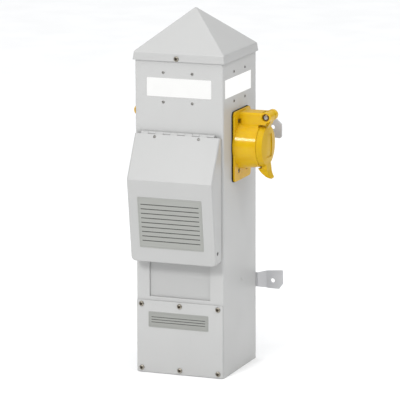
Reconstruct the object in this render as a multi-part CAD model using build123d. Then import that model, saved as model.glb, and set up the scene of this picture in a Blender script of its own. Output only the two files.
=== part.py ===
"""Power pedestal: a square sheet-metal post that carries two covered receptacles and a breaker bay.

Millimetres, +Z up. The origin is the centre of the conduit entry, in the plane that the post stands on.
The breaker hood is on the front, which faces -Y, and the tall receptacle cover is on the right, +X.
"""
from build123d import *
from math import asin, atan2, cos, degrees, hypot, pi, radians, sin, sqrt, tan
import os

# Clearances that the pieces share
SEAT_GAP = 0.2
RUN_GAP = 0.05
SCREW_GAP = 0.15
BODY_GAP = 0.4

# How far a cutting solid stands past what it cuts
CUT = 1.0

# Post: one folded sheet, closed by the cap above and the base plate below
POST_WIDTH = 152.4
WALL = 2.5
INSIDE_BEND = 0.8

# Pyramid cap
CAP_RIM_Z = 518.5
CAP_RISE = 79.0
CAP_EASE = 1.3
CAP_SKIRT = 13.0
CAP_FOLD = 5.0
CAP_SHEET = 2.0
CAP_CORNER = 2.8
CAP_TIP = 1.2
CAP_SCREW_RISE = 4.5
CAP_SCREW_REACH = 4.0
CAP_SCREW_SHIFT = -3.0

# Heights that hang from the cap's rim
WINDOW_DROP = 43.2
SHELF_DROP = 39.3
PIVOT_DROP = 36.0
OUTLET_DROP = 59.5
BRACKET_DROP = 48.0

# Windows and the lenses behind them
WINDOW_HEIGHT = 30.6
WINDOW_CORNER = 1.5
FRONT_WINDOW_MARGIN = 20.4
SIDE_WINDOW_MARGIN = 16.6
SIDE_WINDOW_SHIFT = -7.6
LENS = 3.0
LENS_SIDE_LAP = 4.5
LENS_TOP_LAP = 17.0
LENS_RIVET_X = 25.0
LENS_RIVET_SHIFT = -1.8
LENS_RIVET_MARGIN = 8.7

# Blind rivets
RIVET_HOLE = 1.7
RIVET_HEAD = 2.4
RIVET_CROWN = 1.1
RIVET_TAIL = 2.3
RIVET_CLINCH = 1.2
MANDREL = 0.9

# Pan head screws of the cap and the access cover, with their rivet nuts
PAN_HEAD = 4.3
PAN_RISE = 2.8
PAN_SHANK = 2.3
DRIVE_WIDTH = 1.0
DRIVE_DEPTH = 1.3
NUT_RADIUS = 3.6
NUT_FLANGE = 5.0
NUT_COLLAR = 1.5
NUT_LENGTH = 8.0

# Small screws of the dead front and the receptacle covers
SMALL_HEAD = 3.6
SMALL_RISE = 1.9
SMALL_SHANK = 2.0
SMALL_LENGTH = 12.0

# Access cover over the wiring bay
COVER_FOOT = 0.6
COVER_HEIGHT = 121.2
COVER_MARGIN = 1.2
COVER_SHEET = 2.0
COVER_CORNER = 1.5
COVER_LAP = 14.0
COVER_SCREW_INSET_X = 8.1
COVER_SCREW_INSET_Z = 6.8
COVER_SCREW_PAST = 3.0

# Base plate
BASE_SHEET = 3.0
BASE_FLANGE = 15.0
CONDUIT_HOLE = 25.2

# Breaker opening in the front wall, between the cover and the hinge
BAY_GAP = 6.7
BAY_DROP = 20.0
BAY_LAP = 20.7

# Piano hinge of the hood
KNUCKLE = 3.1
HINGE_PIN = 1.25
HINGE_SEAT = 0.3
HINGE_PIN_END = 0.6
KNUCKLE_LENGTH = 12.7
KNUCKLE_COUNT = 10
KNUCKLE_GAP = 0.3
LEAF = 1.2
POST_LEAF_WIDTH = 15.5
HOOD_LEAF_WIDTH = 12.0
LEAF_RIVET_X = 50.8
LEAF_RIVET_DROP = 10.0

# Breaker hood; its outs run from the post's front wall and its drops from the pivot
HOOD_MARGIN = 2.5
HOOD_SHEET = 1.6
HOOD_FOLD_OUT = 45.8
HOOD_FOLD_DROP = 70.3
HOOD_FOOT_OUT = 28.0
HOOD_DROP = 208.1
HOOD_TOP_LAP = 3.0
HOOD_BACK_GAP = 1.5
HOOD_CORNER = 7.5
HOOD_HEEL = 9.0
HOOD_EDGE = 3.0
HOOD_LIP = 12.0
HOOD_RIVET_X = 38.1
HOOD_RIVET_DROP = 7.2

# Padlock holes in the hood's sides and the tabs beside them
LOCK_HOLE = 3.2
LOCK_OUT = 19.5
LOCK_RISE = 20.6
LOCK_TAB = 2.0
LOCK_TAB_HALF = 8.0
LOCK_TAB_PAST = 6.0
LOCK_TAB_CORNER = 3.0

# Dead front, chassis and breakers behind the opening
RECESS = 2.8
INNER_SHEET = 1.6
DEAD_FRONT_MARGIN = 3.7
DEAD_FRONT_LAP = 4.5
DEAD_SCREW_INSET = 4.0
DEAD_SCREW_RISE = 50.0
DEAD_SCREW_LENGTH = 8.0
CHASSIS_DROP = 5.5
CHASSIS_LIP_MARGIN = 8.0
CHASSIS_RIVET_BACK = 10.0
CHASSIS_RIVET_RISE = 23.0
BREAKER_DROP = 130.0
BREAKER_WIDTH = 25.4
BREAKER_HEIGHT = 76.0
BREAKER_DEPTH = 58.0
BREAKER_SPACE = 0.4
NOSE_HEIGHT = 44.0
NOSE_PROUD = 2.4
TOGGLE_BACK = 3.4
TOGGLE_HUB = 5.0
TOGGLE_WIDTH = 8.0
TOGGLE_REACH = 14.5
TOGGLE_ROOT = 3.2
TOGGLE_TIP = 2.0
TOGGLE_ROUND = 1.2
TOGGLE_THROW = 50.0
TOGGLE_SLOT = 11.0
TOGGLE_AXLE = 1.5
TOGGLE_AXLE_REACH = 2.2
RAIL_DEPTH = 34.6
RAIL_HEIGHT = 35.0
RAIL_FOOT = 10.0
RAIL_PAST = 8.0

# Light chamber
SHELF_FLANGE = 12.0
SHELF_HOLE = 8.0
SHELF_HOLE_Y = 48.0
SOCKET_RADIUS = 18.0
SOCKET_HEIGHT = 30.0
SOCKET_FOOT = 24.0
SOCKET_FOOT_RISE = 3.0
SOCKET_FLOOR = 8.0
LAMP_BASE = 13.0
LAMP_GLOBE = 24.0
LAMP_LENGTH = 78.0

# Terminal block, lugs, neutral bar and earth bar
BLOCK_Z = 62.0
POLE = 27.0
BLOCK_HEIGHT = 34.0
BLOCK_DEPTH = 14.0
BARRIER = 3.0
BARRIER_RISE = 12.0
LUG_WIDTH = 16.0
LUG_HEIGHT = 26.0
LUG_DEPTH = 15.0
LUG_HOLE = 5.2
LUG_SCREW = 4.2
LUG_SCREW_PROUD = 2.5
BAR_LENGTH = 62.0
BAR_SIDE = 9.0
BAR_HOLES = 6
BAR_HOLE = 2.6
BAR_SCREW = 2.2
BAR_SCREW_PROUD = 2.4
BAR_FOOT_WIDTH = 10.0
BAR_FOOT_HEIGHT = 14.0
BAR_FOOT_DEPTH = 8.0
NEUTRAL_DROP = 75.0
GROUND_DROP = 34.0

# Mounting brackets across the back
STRAP = 3.0
LOWER_BRACKET_Z = 133.4
NECK_HEIGHT = 24.0
EAR_HEIGHT = 32.0
JOG_MARGIN = 2.8
JOG_RUN = 11.0
JOG_OUT = 11.8
EAR_LENGTH = 28.6
EAR_FLARE = 3.0
EAR_TILT = 2.2
EAR_CHAMFER = 6.5
EAR_CHAMFER_RISE = 9.0
EAR_ROUND = 2.0
EAR_HOLE = 3.6
EAR_HOLE_INSET = 17.6
EAR_HOLE_SHIFT = 2.5
UPPER_EAR_TRIM = 2.2
UPPER_EAR_CHAMFER = 8.5
UPPER_EAR_CHAMFER_RISE = 8.0
UPPER_EAR_ROUND = 4.0
BOLT_X = 45.0
BOLT_SHANK = 3.0
BOLT_HEAD = 5.8
BOLT_RISE = 4.0
BOLT_PAST = 3.0
BOLT_NUT = 5.0

# Receptacle behind each cover; outs run from the post's side wall
RECEPTACLE = 27.0
RECEPTACLE_FLANGE = 33.0
RECEPTACLE_DEPTH = 38.0
RECEPTACLE_FACE = 2.6
RECEPTACLE_EDGE = 0.8
SLOT_RADIUS = 16.5
SLOT_WIDTH = 2.6
SLOT_ARC = 38.0
SLOT_DEPTH = 13.0
SLOT_COUNT = 3
GROUND_SLOT = 2.2
CONTACT_WIDTH = 1.4
CONTACT_DEPTH = 8.0
CONTACT_EASE = 3.0

# Cover housing
GASKET = 2.0
GASKET_LAP = 0.7
FLANGE_WIDTH = 75.0
FLANGE_HEIGHT = 115.0
FLANGE = 3.0
FLANGE_CORNER = 7.0
FLANGE_EDGE = 0.8
FLANGE_SCREW_Y = 17.5
FLANGE_SCREW_Z = 41.0
FLANGE_BORE = 4.2
FLANGE_BORE_FLOOR = 1.1
TUBE_ROOT = 40.0
TUBE_TAPER = 0.128
TUBE_WALL = 4.2
TUBE_EDGE = 1.0
TALL_TUBE = 34.5
LOW_TUBE = 0.0

# Hinge block, pin and spring
PIN_UP = 48.3
PIN_RADIUS = 2.5
PIN_HEAD = 5.6
PIN_HEAD_RISE = 1.6
EYE = 9.0
EYE_OUTSIDE = 18.0
EYE_INSIDE = 8.6
EYE_RECESS = 6.6
EYE_RECESS_DEPTH = 2.6
WEB_RISE = 6.9
WEB_SHOULDER = 4.0
WEB_BLEND = 12.0
SPRING_MEAN = 4.5
SPRING_WIRE = 0.65
SPRING_PITCH = 1.75
SPRING_TURNS = 4
SPRING_SEAT = 4.0

# Lid
SEAL = 2.0
SEAL_WIDTH = 3.0
LID_RADIUS = 34.3
LID_DRAFT = 2.3
LID_WALL = 2.6
LID_LIP = 1.0
TALL_RIM = 7.2
LOW_RIM = 5.0
LID_DOME = 2.8
LID_EDGE = 0.9
TALL_PIN_OUT = -1.2
LOW_PIN_OUT = 1.8
LID_RECESS_WIDTH = 23.0
LID_RECESS_HEIGHT = 38.0
LID_RECESS_DEPTH = 1.5
LID_KNUCKLE = 8.4
LID_ARM_WIDTH = 16.4
LID_ARM_LAP = 6.0
SPRING_SLOT = 9.8

# Lift tongue below the lid; its outs run from the lid's back or face, its drops from the outlet's centre
TONGUE_HOOK = 6.4
TONGUE_WIDTH = 22.0
TONGUE_TIP_WIDTH = 16.0
TONGUE_TIP_ARCH = 6.0
TONGUE_BELLY_OUT = 0.8
TONGUE_BELLY_DROP = 46.6
TONGUE_TIP_OUT = 2.6
TONGUE_TIP_DROP = 54.6
TONGUE_TIP_ROUND = 2.4
TONGUE_NECK_OUT = -1.2
TONGUE_NECK_DROP = 38.0
TONGUE_NECK_HOLLOW = 1.2
TONGUE_LAP = 8.0

POST_HALF = POST_WIDTH / 2
INNER_HALF = POST_HALF - WALL
TRAY_HALF = INNER_HALF - SEAT_GAP
CAP_APEX_Z = CAP_RIM_Z + CAP_RISE
CAP_HALF = POST_HALF + CAP_EASE + CAP_SHEET
CAP_FOLD_HALF = CAP_HALF - CAP_EASE
CAP_SLOPE = atan2(CAP_RISE - CAP_SKIRT, CAP_FOLD_HALF)
CAP_FOLD_RUN = CAP_FOLD * tan((pi / 2 - CAP_SLOPE) / 2)
CAP_INNER_APEX = CAP_APEX_Z - CAP_SHEET / cos(CAP_SLOPE)
CAP_SCREW_Z = CAP_RIM_Z + CAP_SCREW_RISE
CAP_SEAT = CAP_HALF - POST_HALF - CAP_EASE * CAP_SCREW_RISE / (CAP_SKIRT - CAP_FOLD_RUN)
POST_HEIGHT = CAP_INNER_APEX - POST_HALF * tan(CAP_SLOPE)
WINDOW_Z = CAP_RIM_Z - WINDOW_DROP
SHELF_Z = WINDOW_Z - SHELF_DROP
PIVOT_Z = SHELF_Z - PIVOT_DROP
OUTLET_Z = SHELF_Z - OUTLET_DROP
UPPER_BRACKET_Z = SHELF_Z - BRACKET_DROP
COVER_HALF = POST_HALF - COVER_MARGIN
COVER_TOP = COVER_FOOT + COVER_HEIGHT
HOOD_HALF = POST_HALF - HOOD_MARGIN
HOOD_INNER_HALF = HOOD_HALF - HOOD_SHEET
HOOD_FOOT_Z = PIVOT_Z - HOOD_DROP
HOOD_BACK_Y = -POST_HALF - HOOD_BACK_GAP
BAY_HALF = HOOD_HALF - BAY_LAP
BAY_FLOOR = COVER_TOP + BAY_GAP
BAY_TOP = PIVOT_Z - BAY_DROP
PIVOT_Y = -(POST_HALF + KNUCKLE + HINGE_SEAT)
HINGE_HALF = KNUCKLE_COUNT * KNUCKLE_LENGTH / 2
LOCK_Y = -POST_HALF - LOCK_OUT
LOCK_Z = HOOD_FOOT_Z + LOCK_RISE
DEAD_FRONT_Y = RECESS - POST_HALF
DEAD_FRONT_HALF = INNER_HALF - DEAD_FRONT_MARGIN
DEAD_FRONT_FLOOR = BAY_FLOOR - DEAD_FRONT_LAP
DEAD_SCREW_X = BAY_HALF - DEAD_SCREW_INSET
BREAKER_Z = PIVOT_Z - BREAKER_DROP
NOSE_Y = DEAD_FRONT_Y - NOSE_PROUD
BREAKER_BACK_Y = NOSE_Y + BREAKER_DEPTH
TOGGLE_Y = NOSE_Y + TOGGLE_BACK
TOGGLE_POCKET = TOGGLE_WIDTH / 2 + BODY_GAP
CHASSIS_BACK_Y = BREAKER_BACK_Y + RAIL_DEPTH
CHASSIS_FLOOR = DEAD_FRONT_FLOOR + INNER_SHEET
CHASSIS_TOP = OUTLET_Z - FLANGE_SCREW_Z - CHASSIS_DROP
CHASSIS_RIVET_Y = CHASSIS_BACK_Y - CHASSIS_RIVET_BACK
CHASSIS_RIVET_Z = CHASSIS_FLOOR + CHASSIS_RIVET_RISE
JOG_START = POST_HALF + JOG_MARGIN
JOG_END = JOG_START + JOG_RUN
EAR_END = JOG_END + EAR_LENGTH
FLANGE_FACE = GASKET + FLANGE
TUBE_INSIDE = TUBE_ROOT - TUBE_WALL
RECEPTACLE_TOP = GASKET + RECEPTACLE_FACE
WEB_TOP = PIN_UP + WEB_RISE
WALLS = {"front": Rot(90, 0, 0), "back": Rot(-90, 0, 0), "right": Rot(0, 90, 0), "left": Rot(0, -90, 0)}


def slab(x, y, z):
    """Block between the low and high value given for each axis."""
    return Pos(sum(x) / 2, sum(y) / 2, sum(z) / 2) * Box(x[1] - x[0], y[1] - y[0], z[1] - z[0])


def rod_x(radius, x, y=0.0, z=0.0):
    """Cylinder along X between two values of X."""
    return Pos(sum(x) / 2, y, z) * Rot(0, 90, 0) * Cylinder(radius, x[1] - x[0])


def rod_y(radius, y, x=0.0, z=0.0):
    """Cylinder along Y between two values of Y."""
    return Pos(x, sum(y) / 2, z) * Rot(90, 0, 0) * Cylinder(radius, y[1] - y[0])


def rod_z(radius, z, x=0.0, y=0.0):
    """Cylinder along Z between two values of Z."""
    return Pos(x, y, sum(z) / 2) * Cylinder(radius, z[1] - z[0])


def turned(points):
    """Solid turned about Z from (radius, height) points."""
    return revolve(make_face(Polyline([(r, 0, h) for r, h in points], close=True)), axis=Axis.Z)


def turned_x(points):
    """Solid turned about X from (distance along X, radius) points."""
    return revolve(make_face(Polyline([(x, r, 0) for x, r in points], close=True)), axis=Axis.X)


def across_x(points, x):
    """Prism along X from (y, z) points."""
    outline = make_face(Polyline([(x[0], y, z) for y, z in points], close=True))
    return extrude(outline, amount=x[1] - x[0], dir=(1, 0, 0))


def across_y(points, y):
    """Prism along Y from (x, z) points."""
    outline = make_face(Polyline([(x, y[0], z) for x, z in points], close=True))
    return extrude(outline, amount=y[1] - y[0], dir=(0, 1, 0))


def upright(points, z):
    """Prism along Z from (x, y) points."""
    outline = make_face(Polyline([(x, y, z[0]) for x, y in points], close=True))
    return extrude(outline, amount=z[1] - z[0], dir=(0, 0, 1))


def on_wall(side, across, height, shape, out=0.0):
    """Set a shape, made along +Z, on a wall of the post so that it points outwards."""
    place = {"front": (across, -POST_HALF - out, height), "back": (across, POST_HALF + out, height),
             "right": (POST_HALF + out, across, height), "left": (-POST_HALF - out, across, height)}
    return Pos(*place[side]) * WALLS[side] * shape


def drilled(side, across, height, radius):
    """Cutting rod through a wall of the post and the sheets against it."""
    return on_wall(side, across, height, Cylinder(radius, 4 * (WALL + LENS)))


def group(shapes):
    """One node made of separate solids."""
    return Part() + list(shapes)


def mirrored(points):
    """Outline made of a right half, listed from top to bottom, and its mirror image."""
    return points + [(-across, up) for across, up in reversed(points)]


def rivet(grip):
    """Blind rivet with its head on z = 0, clinched under a stack of the given grip."""
    shank = RIVET_HOLE - RUN_GAP
    end = -grip - RIVET_CLINCH
    points = [(MANDREL, 0.4 * RIVET_CROWN), (MANDREL, RIVET_CROWN), (0.6 * RIVET_HEAD, 0.9 * RIVET_CROWN),
              (RIVET_HEAD, 0.25 * RIVET_CROWN), (RIVET_HEAD, 0), (shank, 0), (shank, -grip),
              (RIVET_TAIL, -grip), (RIVET_TAIL, end), (0, end - MANDREL), (0, 0.4 * RIVET_CROWN)]
    return turned(points)


def pan_screw(length, head=PAN_HEAD, rise=PAN_RISE, shank=PAN_SHANK):
    """Pan head screw with a cross recess, its head seated on z = 0."""
    points = [(0, rise), (0.55 * head, 0.95 * rise), (0.88 * head, 0.6 * rise), (head, 0.3 * rise),
              (head, 0), (shank, 0), (shank, shank - length), (0, -length)]
    body = turned(points)
    arm = 0.55 * head
    cross = ((arm, DRIVE_WIDTH / 2), (DRIVE_WIDTH / 2, arm))
    return body - [slab((-a, a), (-b, b), (rise - DRIVE_DEPTH, rise + CUT)) for a, b in cross]


def hexagon(half_flats, z):
    """Hexagonal prism about Z, named by half its width across flats."""
    corner = half_flats / cos(pi / 6)
    return upright([(corner * cos(k * pi / 3), corner * sin(k * pi / 3)) for k in range(6)], z)


def lens_rivet_places():
    """Across and height of the rivets of each lens."""
    rise = WINDOW_HEIGHT / 2 + LENS_RIVET_MARGIN
    columns = (LENS_RIVET_SHIFT - LENS_RIVET_X, LENS_RIVET_SHIFT + LENS_RIVET_X)
    return [(x, WINDOW_Z + z) for x in columns for z in (-rise, rise)]


def cover_screw_places():
    """Across and height of the screws of the access cover."""
    x = COVER_HALF - COVER_SCREW_INSET_X
    rows = (COVER_FOOT + COVER_SCREW_INSET_Z, COVER_TOP - COVER_SCREW_INSET_Z)
    return [(across, z) for across in (-x, 0, x) for z in rows]


def bolt_places():
    """Across and height of the bolts that hold the brackets."""
    return [(x, z) for x in (-BOLT_X, BOLT_X) for z in (LOWER_BRACKET_Z, UPPER_BRACKET_Z)]


def flange_screw_places():
    """Across and height of a receptacle cover's screws, from the outlet's centre."""
    return [(y, z) for y in (-FLANGE_SCREW_Y, FLANGE_SCREW_Y) for z in (-FLANGE_SCREW_Z, FLANGE_SCREW_Z)]


def dead_screw_places():
    """X and Z of the dead front's screws, which the hood covers."""
    rows = (BREAKER_Z - DEAD_SCREW_RISE, BREAKER_Z + DEAD_SCREW_RISE)
    return [(x, z) for x in (-DEAD_SCREW_X, DEAD_SCREW_X) for z in rows]


def window_plate(side, tall, wide, corner, thickness, out):
    """Rounded plate centred on a side's window, its inner face at a distance out from the wall."""
    plate = extrude(RectangleRounded(tall, wide, corner), thickness)
    if side == "front":
        return on_wall(side, 0, WINDOW_Z, Rot(0, 0, 90) * plate, out)
    return on_wall(side, SIDE_WINDOW_SHIFT, WINDOW_Z, plate, out)


def window_width(side):
    """Width of a side's window."""
    return POST_WIDTH - 2 * (FRONT_WINDOW_MARGIN if side == "front" else SIDE_WINDOW_MARGIN)


def post_shell():
    """Folded post with its openings, window cut-outs and fastener holes."""
    outer = extrude(RectangleRounded(POST_WIDTH, POST_WIDTH, INSIDE_BEND + WALL), POST_HEIGHT)
    inner = extrude(RectangleRounded(2 * INNER_HALF, 2 * INNER_HALF, INSIDE_BEND), POST_HEIGHT)
    wall = (-POST_HALF - CUT, CUT - INNER_HALF)
    access = COVER_HALF - COVER_LAP
    cuts = [slab((-BAY_HALF, BAY_HALF), wall, (BAY_FLOOR, BAY_TOP)),
            slab((-access, access), wall, (COVER_FOOT + COVER_LAP, COVER_TOP - COVER_LAP))]
    for side in ("front", "right", "left"):
        wide = window_width(side)
        cuts.append(window_plate(side, WINDOW_HEIGHT, wide, WINDOW_CORNER, WALL + 2 * CUT, -WALL - CUT))
        cuts += [drilled(side, x, z, RIVET_HOLE) for x, z in lens_rivet_places()]
    for side in ("right", "left"):
        cuts += [drilled(side, 0, OUTLET_Z, RECEPTACLE + SEAT_GAP),
                 drilled(side, CHASSIS_RIVET_Y, CHASSIS_RIVET_Z, RIVET_HOLE)]
        cuts += [drilled(side, y, OUTLET_Z + z, SMALL_SHANK + SCREW_GAP) for y, z in flange_screw_places()]
    cuts += [drilled("front", x, z, NUT_RADIUS + RUN_GAP) for x, z in cover_screw_places()]
    leaf_z = PIVOT_Z - LEAF_RIVET_DROP
    cuts += [drilled("front", x, leaf_z, RIVET_HOLE) for x in (-LEAF_RIVET_X, LEAF_RIVET_X)]
    cuts += [drilled(side, CAP_SCREW_SHIFT, CAP_SCREW_Z, PAN_SHANK + RUN_GAP) for side in ("front", "back")]
    cuts += [drilled("back", x, z, BOLT_SHANK + SCREW_GAP) for x, z in bolt_places()]
    return outer - inner - cuts


def tray(inset, z):
    """Block that fits inside the post with its rounded corners, drawn in by an inset."""
    half = TRAY_HALF - inset
    return Pos(0, 0, z[0]) * extrude(RectangleRounded(2 * half, 2 * half, INSIDE_BEND), z[1] - z[0])


def base_plate():
    """Bottom plate with upturned flanges on three sides, notched for the nuts, with the conduit entry."""
    top = BASE_SHEET + BASE_FLANGE
    behind_nuts = -INNER_HALF + NUT_LENGTH + BODY_GAP
    plate = tray(0, (0, top)) - tray(BASE_SHEET, (BASE_SHEET, top + CUT))
    plate -= slab((-POST_HALF, POST_HALF), (-POST_HALF, behind_nuts), (BASE_SHEET, top + CUT))
    half = NUT_FLANGE + BODY_GAP
    notches = [slab((x - half, x + half), (-POST_HALF, behind_nuts), (-CUT, top))
               for x, z in cover_screw_places() if z < COVER_TOP / 2]
    return plate - notches - rod_z(CONDUIT_HOLE, (-CUT, BASE_SHEET + CUT))


def lens(side):
    """Translucent plate behind a window, with a raised pad that fills it."""
    wide = window_width(side)
    plate = window_plate(side, WINDOW_HEIGHT + 2 * LENS_TOP_LAP, wide + 2 * LENS_SIDE_LAP, WINDOW_CORNER,
                         LENS, -WALL - LENS)
    plate += window_plate(side, WINDOW_HEIGHT - 2 * SEAT_GAP, wide - 2 * SEAT_GAP, WINDOW_CORNER - SEAT_GAP,
                          WALL - SEAT_GAP, -WALL)
    return plate - [drilled(side, x, z, RIVET_HOLE) for x, z in lens_rivet_places()]


def lens_rivets():
    """Blind rivets that hold the three lenses to the post's walls."""
    return group(on_wall(side, x, z, rivet(WALL + LENS))
                 for side in ("front", "right", "left") for x, z in lens_rivet_places())


def cap_outside():
    """(height, half width) of the cap's outer face: drafted skirt, rounded fold, slope."""
    centre = CAP_FOLD_HALF - CAP_FOLD
    fold_z = CAP_RIM_Z + CAP_SKIRT - CAP_FOLD_RUN
    turns = [k / 3 * (pi / 2 - CAP_SLOPE) for k in range(4)]
    fold = [(fold_z + CAP_FOLD * sin(turn), centre + CAP_FOLD * cos(turn)) for turn in turns]
    return [(CAP_RIM_Z, CAP_HALF)] + fold + [(CAP_APEX_Z - CAP_TIP * tan(CAP_SLOPE), CAP_TIP)]


def cap_inside():
    """(height, half width) of the cap's inner face, which rests on the post's top edges."""
    return [(CAP_RIM_Z - CUT, CAP_HALF - CAP_SHEET), (POST_HEIGHT, POST_HALF),
            (CAP_INNER_APEX - CAP_TIP * tan(CAP_SLOPE), CAP_TIP)]


def pyramid(stations):
    """Solid through square sections with the cap's rounded corners, from (height, half width) stations."""
    return loft([Pos(0, 0, z) * RectangleRounded(2 * half, 2 * half, min(CAP_CORNER, 0.8 * half))
                 for z, half in stations], ruled=True)


def mitred_pyramid(stations):
    """Solid with sharp mitred corners, where the same gable along X and along Y meet."""
    gable = across_y(mirrored([(half, z) for z, half in stations]), (-2 * CAP_HALF, 2 * CAP_HALF))
    return gable & Rot(0, 0, 90) * gable


def cap():
    """Pyramid cap, hollow, with a screw hole and a flat seat in the front and back of its skirt."""
    shell = pyramid(cap_outside()) - mitred_pyramid(cap_inside())
    seat = Pos(0, 0, CAP_SHEET) * Cylinder(PAN_HEAD + SEAT_GAP, 2 * CAP_SHEET)
    shell -= [on_wall(side, CAP_SCREW_SHIFT, CAP_SCREW_Z, seat, CAP_SEAT) for side in ("front", "back")]
    past = (-CAP_HALF - CUT, CAP_HALF + CUT)
    return shell - rod_y(PAN_SHANK + SCREW_GAP, past, CAP_SCREW_SHIFT, CAP_SCREW_Z)


def cap_screws():
    """Screws through the skirt into the post, front and back."""
    screw = pan_screw(CAP_SEAT + WALL + CAP_SCREW_REACH)
    return group(on_wall(side, CAP_SCREW_SHIFT, CAP_SCREW_Z, screw, CAP_SEAT) for side in ("front", "back"))


def light_shelf():
    """Floor of the light chamber, with flanges turned down inside the post."""
    pan = tray(0, (SHELF_Z - SHELF_FLANGE, SHELF_Z + INNER_SHEET))
    pan -= tray(INNER_SHEET, (SHELF_Z - SHELF_FLANGE - CUT, SHELF_Z))
    return pan - rod_z(SHELF_HOLE, (SHELF_Z - CUT, SHELF_Z + INNER_SHEET + CUT), y=SHELF_HOLE_Y)


def lamp_socket():
    """Lamp holder on the shelf: a foot ring and a bored cup."""
    foot = SHELF_Z + INNER_SHEET
    shoulder = foot + SOCKET_FOOT_RISE
    top = foot + SOCKET_HEIGHT
    bore = LAMP_BASE + RUN_GAP
    points = [(0, foot), (SOCKET_FOOT, foot), (SOCKET_FOOT, shoulder), (SOCKET_RADIUS - CUT, shoulder + CUT),
              (SOCKET_RADIUS, top), (bore, top), (bore, foot + SOCKET_FLOOR), (0, foot + SOCKET_FLOOR)]
    return turned(points)


def lamp_bulb():
    """Globe lamp with its neck seated in the holder."""
    seat = SHELF_Z + INNER_SHEET + SOCKET_FLOOR
    centre = seat + LAMP_LENGTH - LAMP_GLOBE
    neck = rod_z(LAMP_BASE, (seat, centre))
    return neck + Pos(0, 0, centre) * Sphere(LAMP_GLOBE)


def access_cover():
    """Flat cover over the wiring bay."""
    plate = extrude(RectangleRounded(2 * COVER_HALF, COVER_HEIGHT, COVER_CORNER), COVER_SHEET)
    plate = on_wall("front", 0, COVER_FOOT + COVER_HEIGHT / 2, plate)
    return plate - [drilled("front", x, z, PAN_SHANK + SCREW_GAP) for x, z in cover_screw_places()]


def access_screws():
    """Screws of the access cover."""
    screw = pan_screw(COVER_SHEET + WALL + NUT_LENGTH + COVER_SCREW_PAST)
    return group(on_wall("front", x, z, screw, COVER_SHEET) for x, z in cover_screw_places())


def access_nuts():
    """Rivet nuts set in the front wall for the cover's screws."""
    bore = PAN_SHANK + RUN_GAP
    end = -WALL - NUT_LENGTH
    points = [(bore, 0), (NUT_RADIUS, 0), (NUT_RADIUS, -WALL), (NUT_FLANGE, -WALL),
              (NUT_FLANGE, -WALL - NUT_COLLAR), (NUT_RADIUS, -WALL - 2 * NUT_COLLAR), (NUT_RADIUS, end),
              (bore, end)]
    return group(on_wall("front", x, z, turned(points)) for x, z in cover_screw_places())


def hood_line():
    """Fold and foot of the hood's outer face seen from the side, its slope's direction and length."""
    fold = (-POST_HALF - HOOD_FOLD_OUT, PIVOT_Z - HOOD_FOLD_DROP)
    foot = (-POST_HALF - HOOD_FOOT_OUT, HOOD_FOOT_Z)
    reach = hypot(PIVOT_Y - fold[0], PIVOT_Z - fold[1])
    lean = atan2(PIVOT_Z - fold[1], PIVOT_Y - fold[0]) + asin((KNUCKLE + HOOD_SHEET) / reach)
    return fold, foot, (cos(lean), sin(lean)), sqrt(reach ** 2 - (KNUCKLE + HOOD_SHEET) ** 2)


def on_slope(distance, depth=0.0):
    """Point of the hood's slope at a distance below the hinge line and a depth under the outer face."""
    fold, _, (along, rise), length = hood_line()
    up = length - distance
    return fold[0] + along * up + rise * depth, fold[1] + rise * up - along * depth


def slope_turn():
    """Turn about X from an upright front panel to the hood's slope."""
    _, _, (along, rise), _ = hood_line()
    return Rot(-degrees(atan2(along, rise)), 0, 0)


def hood_profile(inset):
    """Top, knee and heel of the hood's side outline, drawn in by the sheet for its inside."""
    fold, foot, slope, _ = hood_line()
    front = hypot(fold[0] - foot[0], fold[1] - foot[1])
    down = ((foot[0] - fold[0]) / front, (foot[1] - fold[1]) / front)
    mitre = inset * tan((atan2(slope[1], slope[0]) - atan2(-down[1], -down[0])) / 2)
    knee = (fold[0] - inset * down[1] + mitre * down[0], fold[1] + inset * down[0] + mitre * down[1])
    heel_z = foot[1] + inset
    heel = (knee[0] + down[0] * (heel_z - knee[1]) / down[1], heel_z)
    top = on_slope(-HOOD_TOP_LAP if inset else HOOD_TOP_LAP, inset)
    return [top, knee, heel]


def hood_front(inset):
    """Front outline of the hood as a block along Y, with its rounded lower corners."""
    half, foot, top = HOOD_HALF - inset, HOOD_FOOT_Z + inset, PIVOT_Z + HOOD_FOLD_OUT
    outline = RectangleRounded(2 * half, top - foot, max(HOOD_CORNER - inset, SEAT_GAP))
    block = extrude(outline, amount=POST_WIDTH, both=True)
    return Pos(0, -POST_HALF, (foot + top) / 2) * WALLS["front"] * block


def hood_outside():
    """Hood's outer form: folded profile with rounded heels and side bends."""
    top, knee, heel = hood_profile(0)
    points = [top, knee, heel, (HOOD_BACK_Y, heel[1]), (HOOD_BACK_Y, top[1] - HOOD_SHEET)]
    body = across_x(points, (-HOOD_HALF, HOOD_HALF))
    heels = [e for e in body.edges().filter_by(Axis.X)
             if abs(e.center().Y - HOOD_BACK_Y) < SEAT_GAP and e.center().Z < HOOD_FOOT_Z + CUT]
    body = fillet(heels, HOOD_HEEL) & hood_front(0)
    bends = [e for e in body.edges() if abs(abs(e.center().X) - HOOD_HALF) < RUN_GAP
             and e.center().Y < -POST_HALF - HOOD_FOOT_OUT / 2 and e.length > HOOD_HEEL + HOOD_CORNER]
    return fillet(bends, min(HOOD_EDGE, 2 * HOOD_SHEET))


def hood_inside():
    """Hollow of the hood, open at the back and the top."""
    top, knee, heel = hood_profile(HOOD_SHEET)
    points = [top, knee, heel, (-POST_HALF, heel[1]), (-POST_HALF, top[1])]
    return across_x(points, (-HOOD_INNER_HALF, HOOD_INNER_HALF)) & hood_front(HOOD_SHEET)


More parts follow.
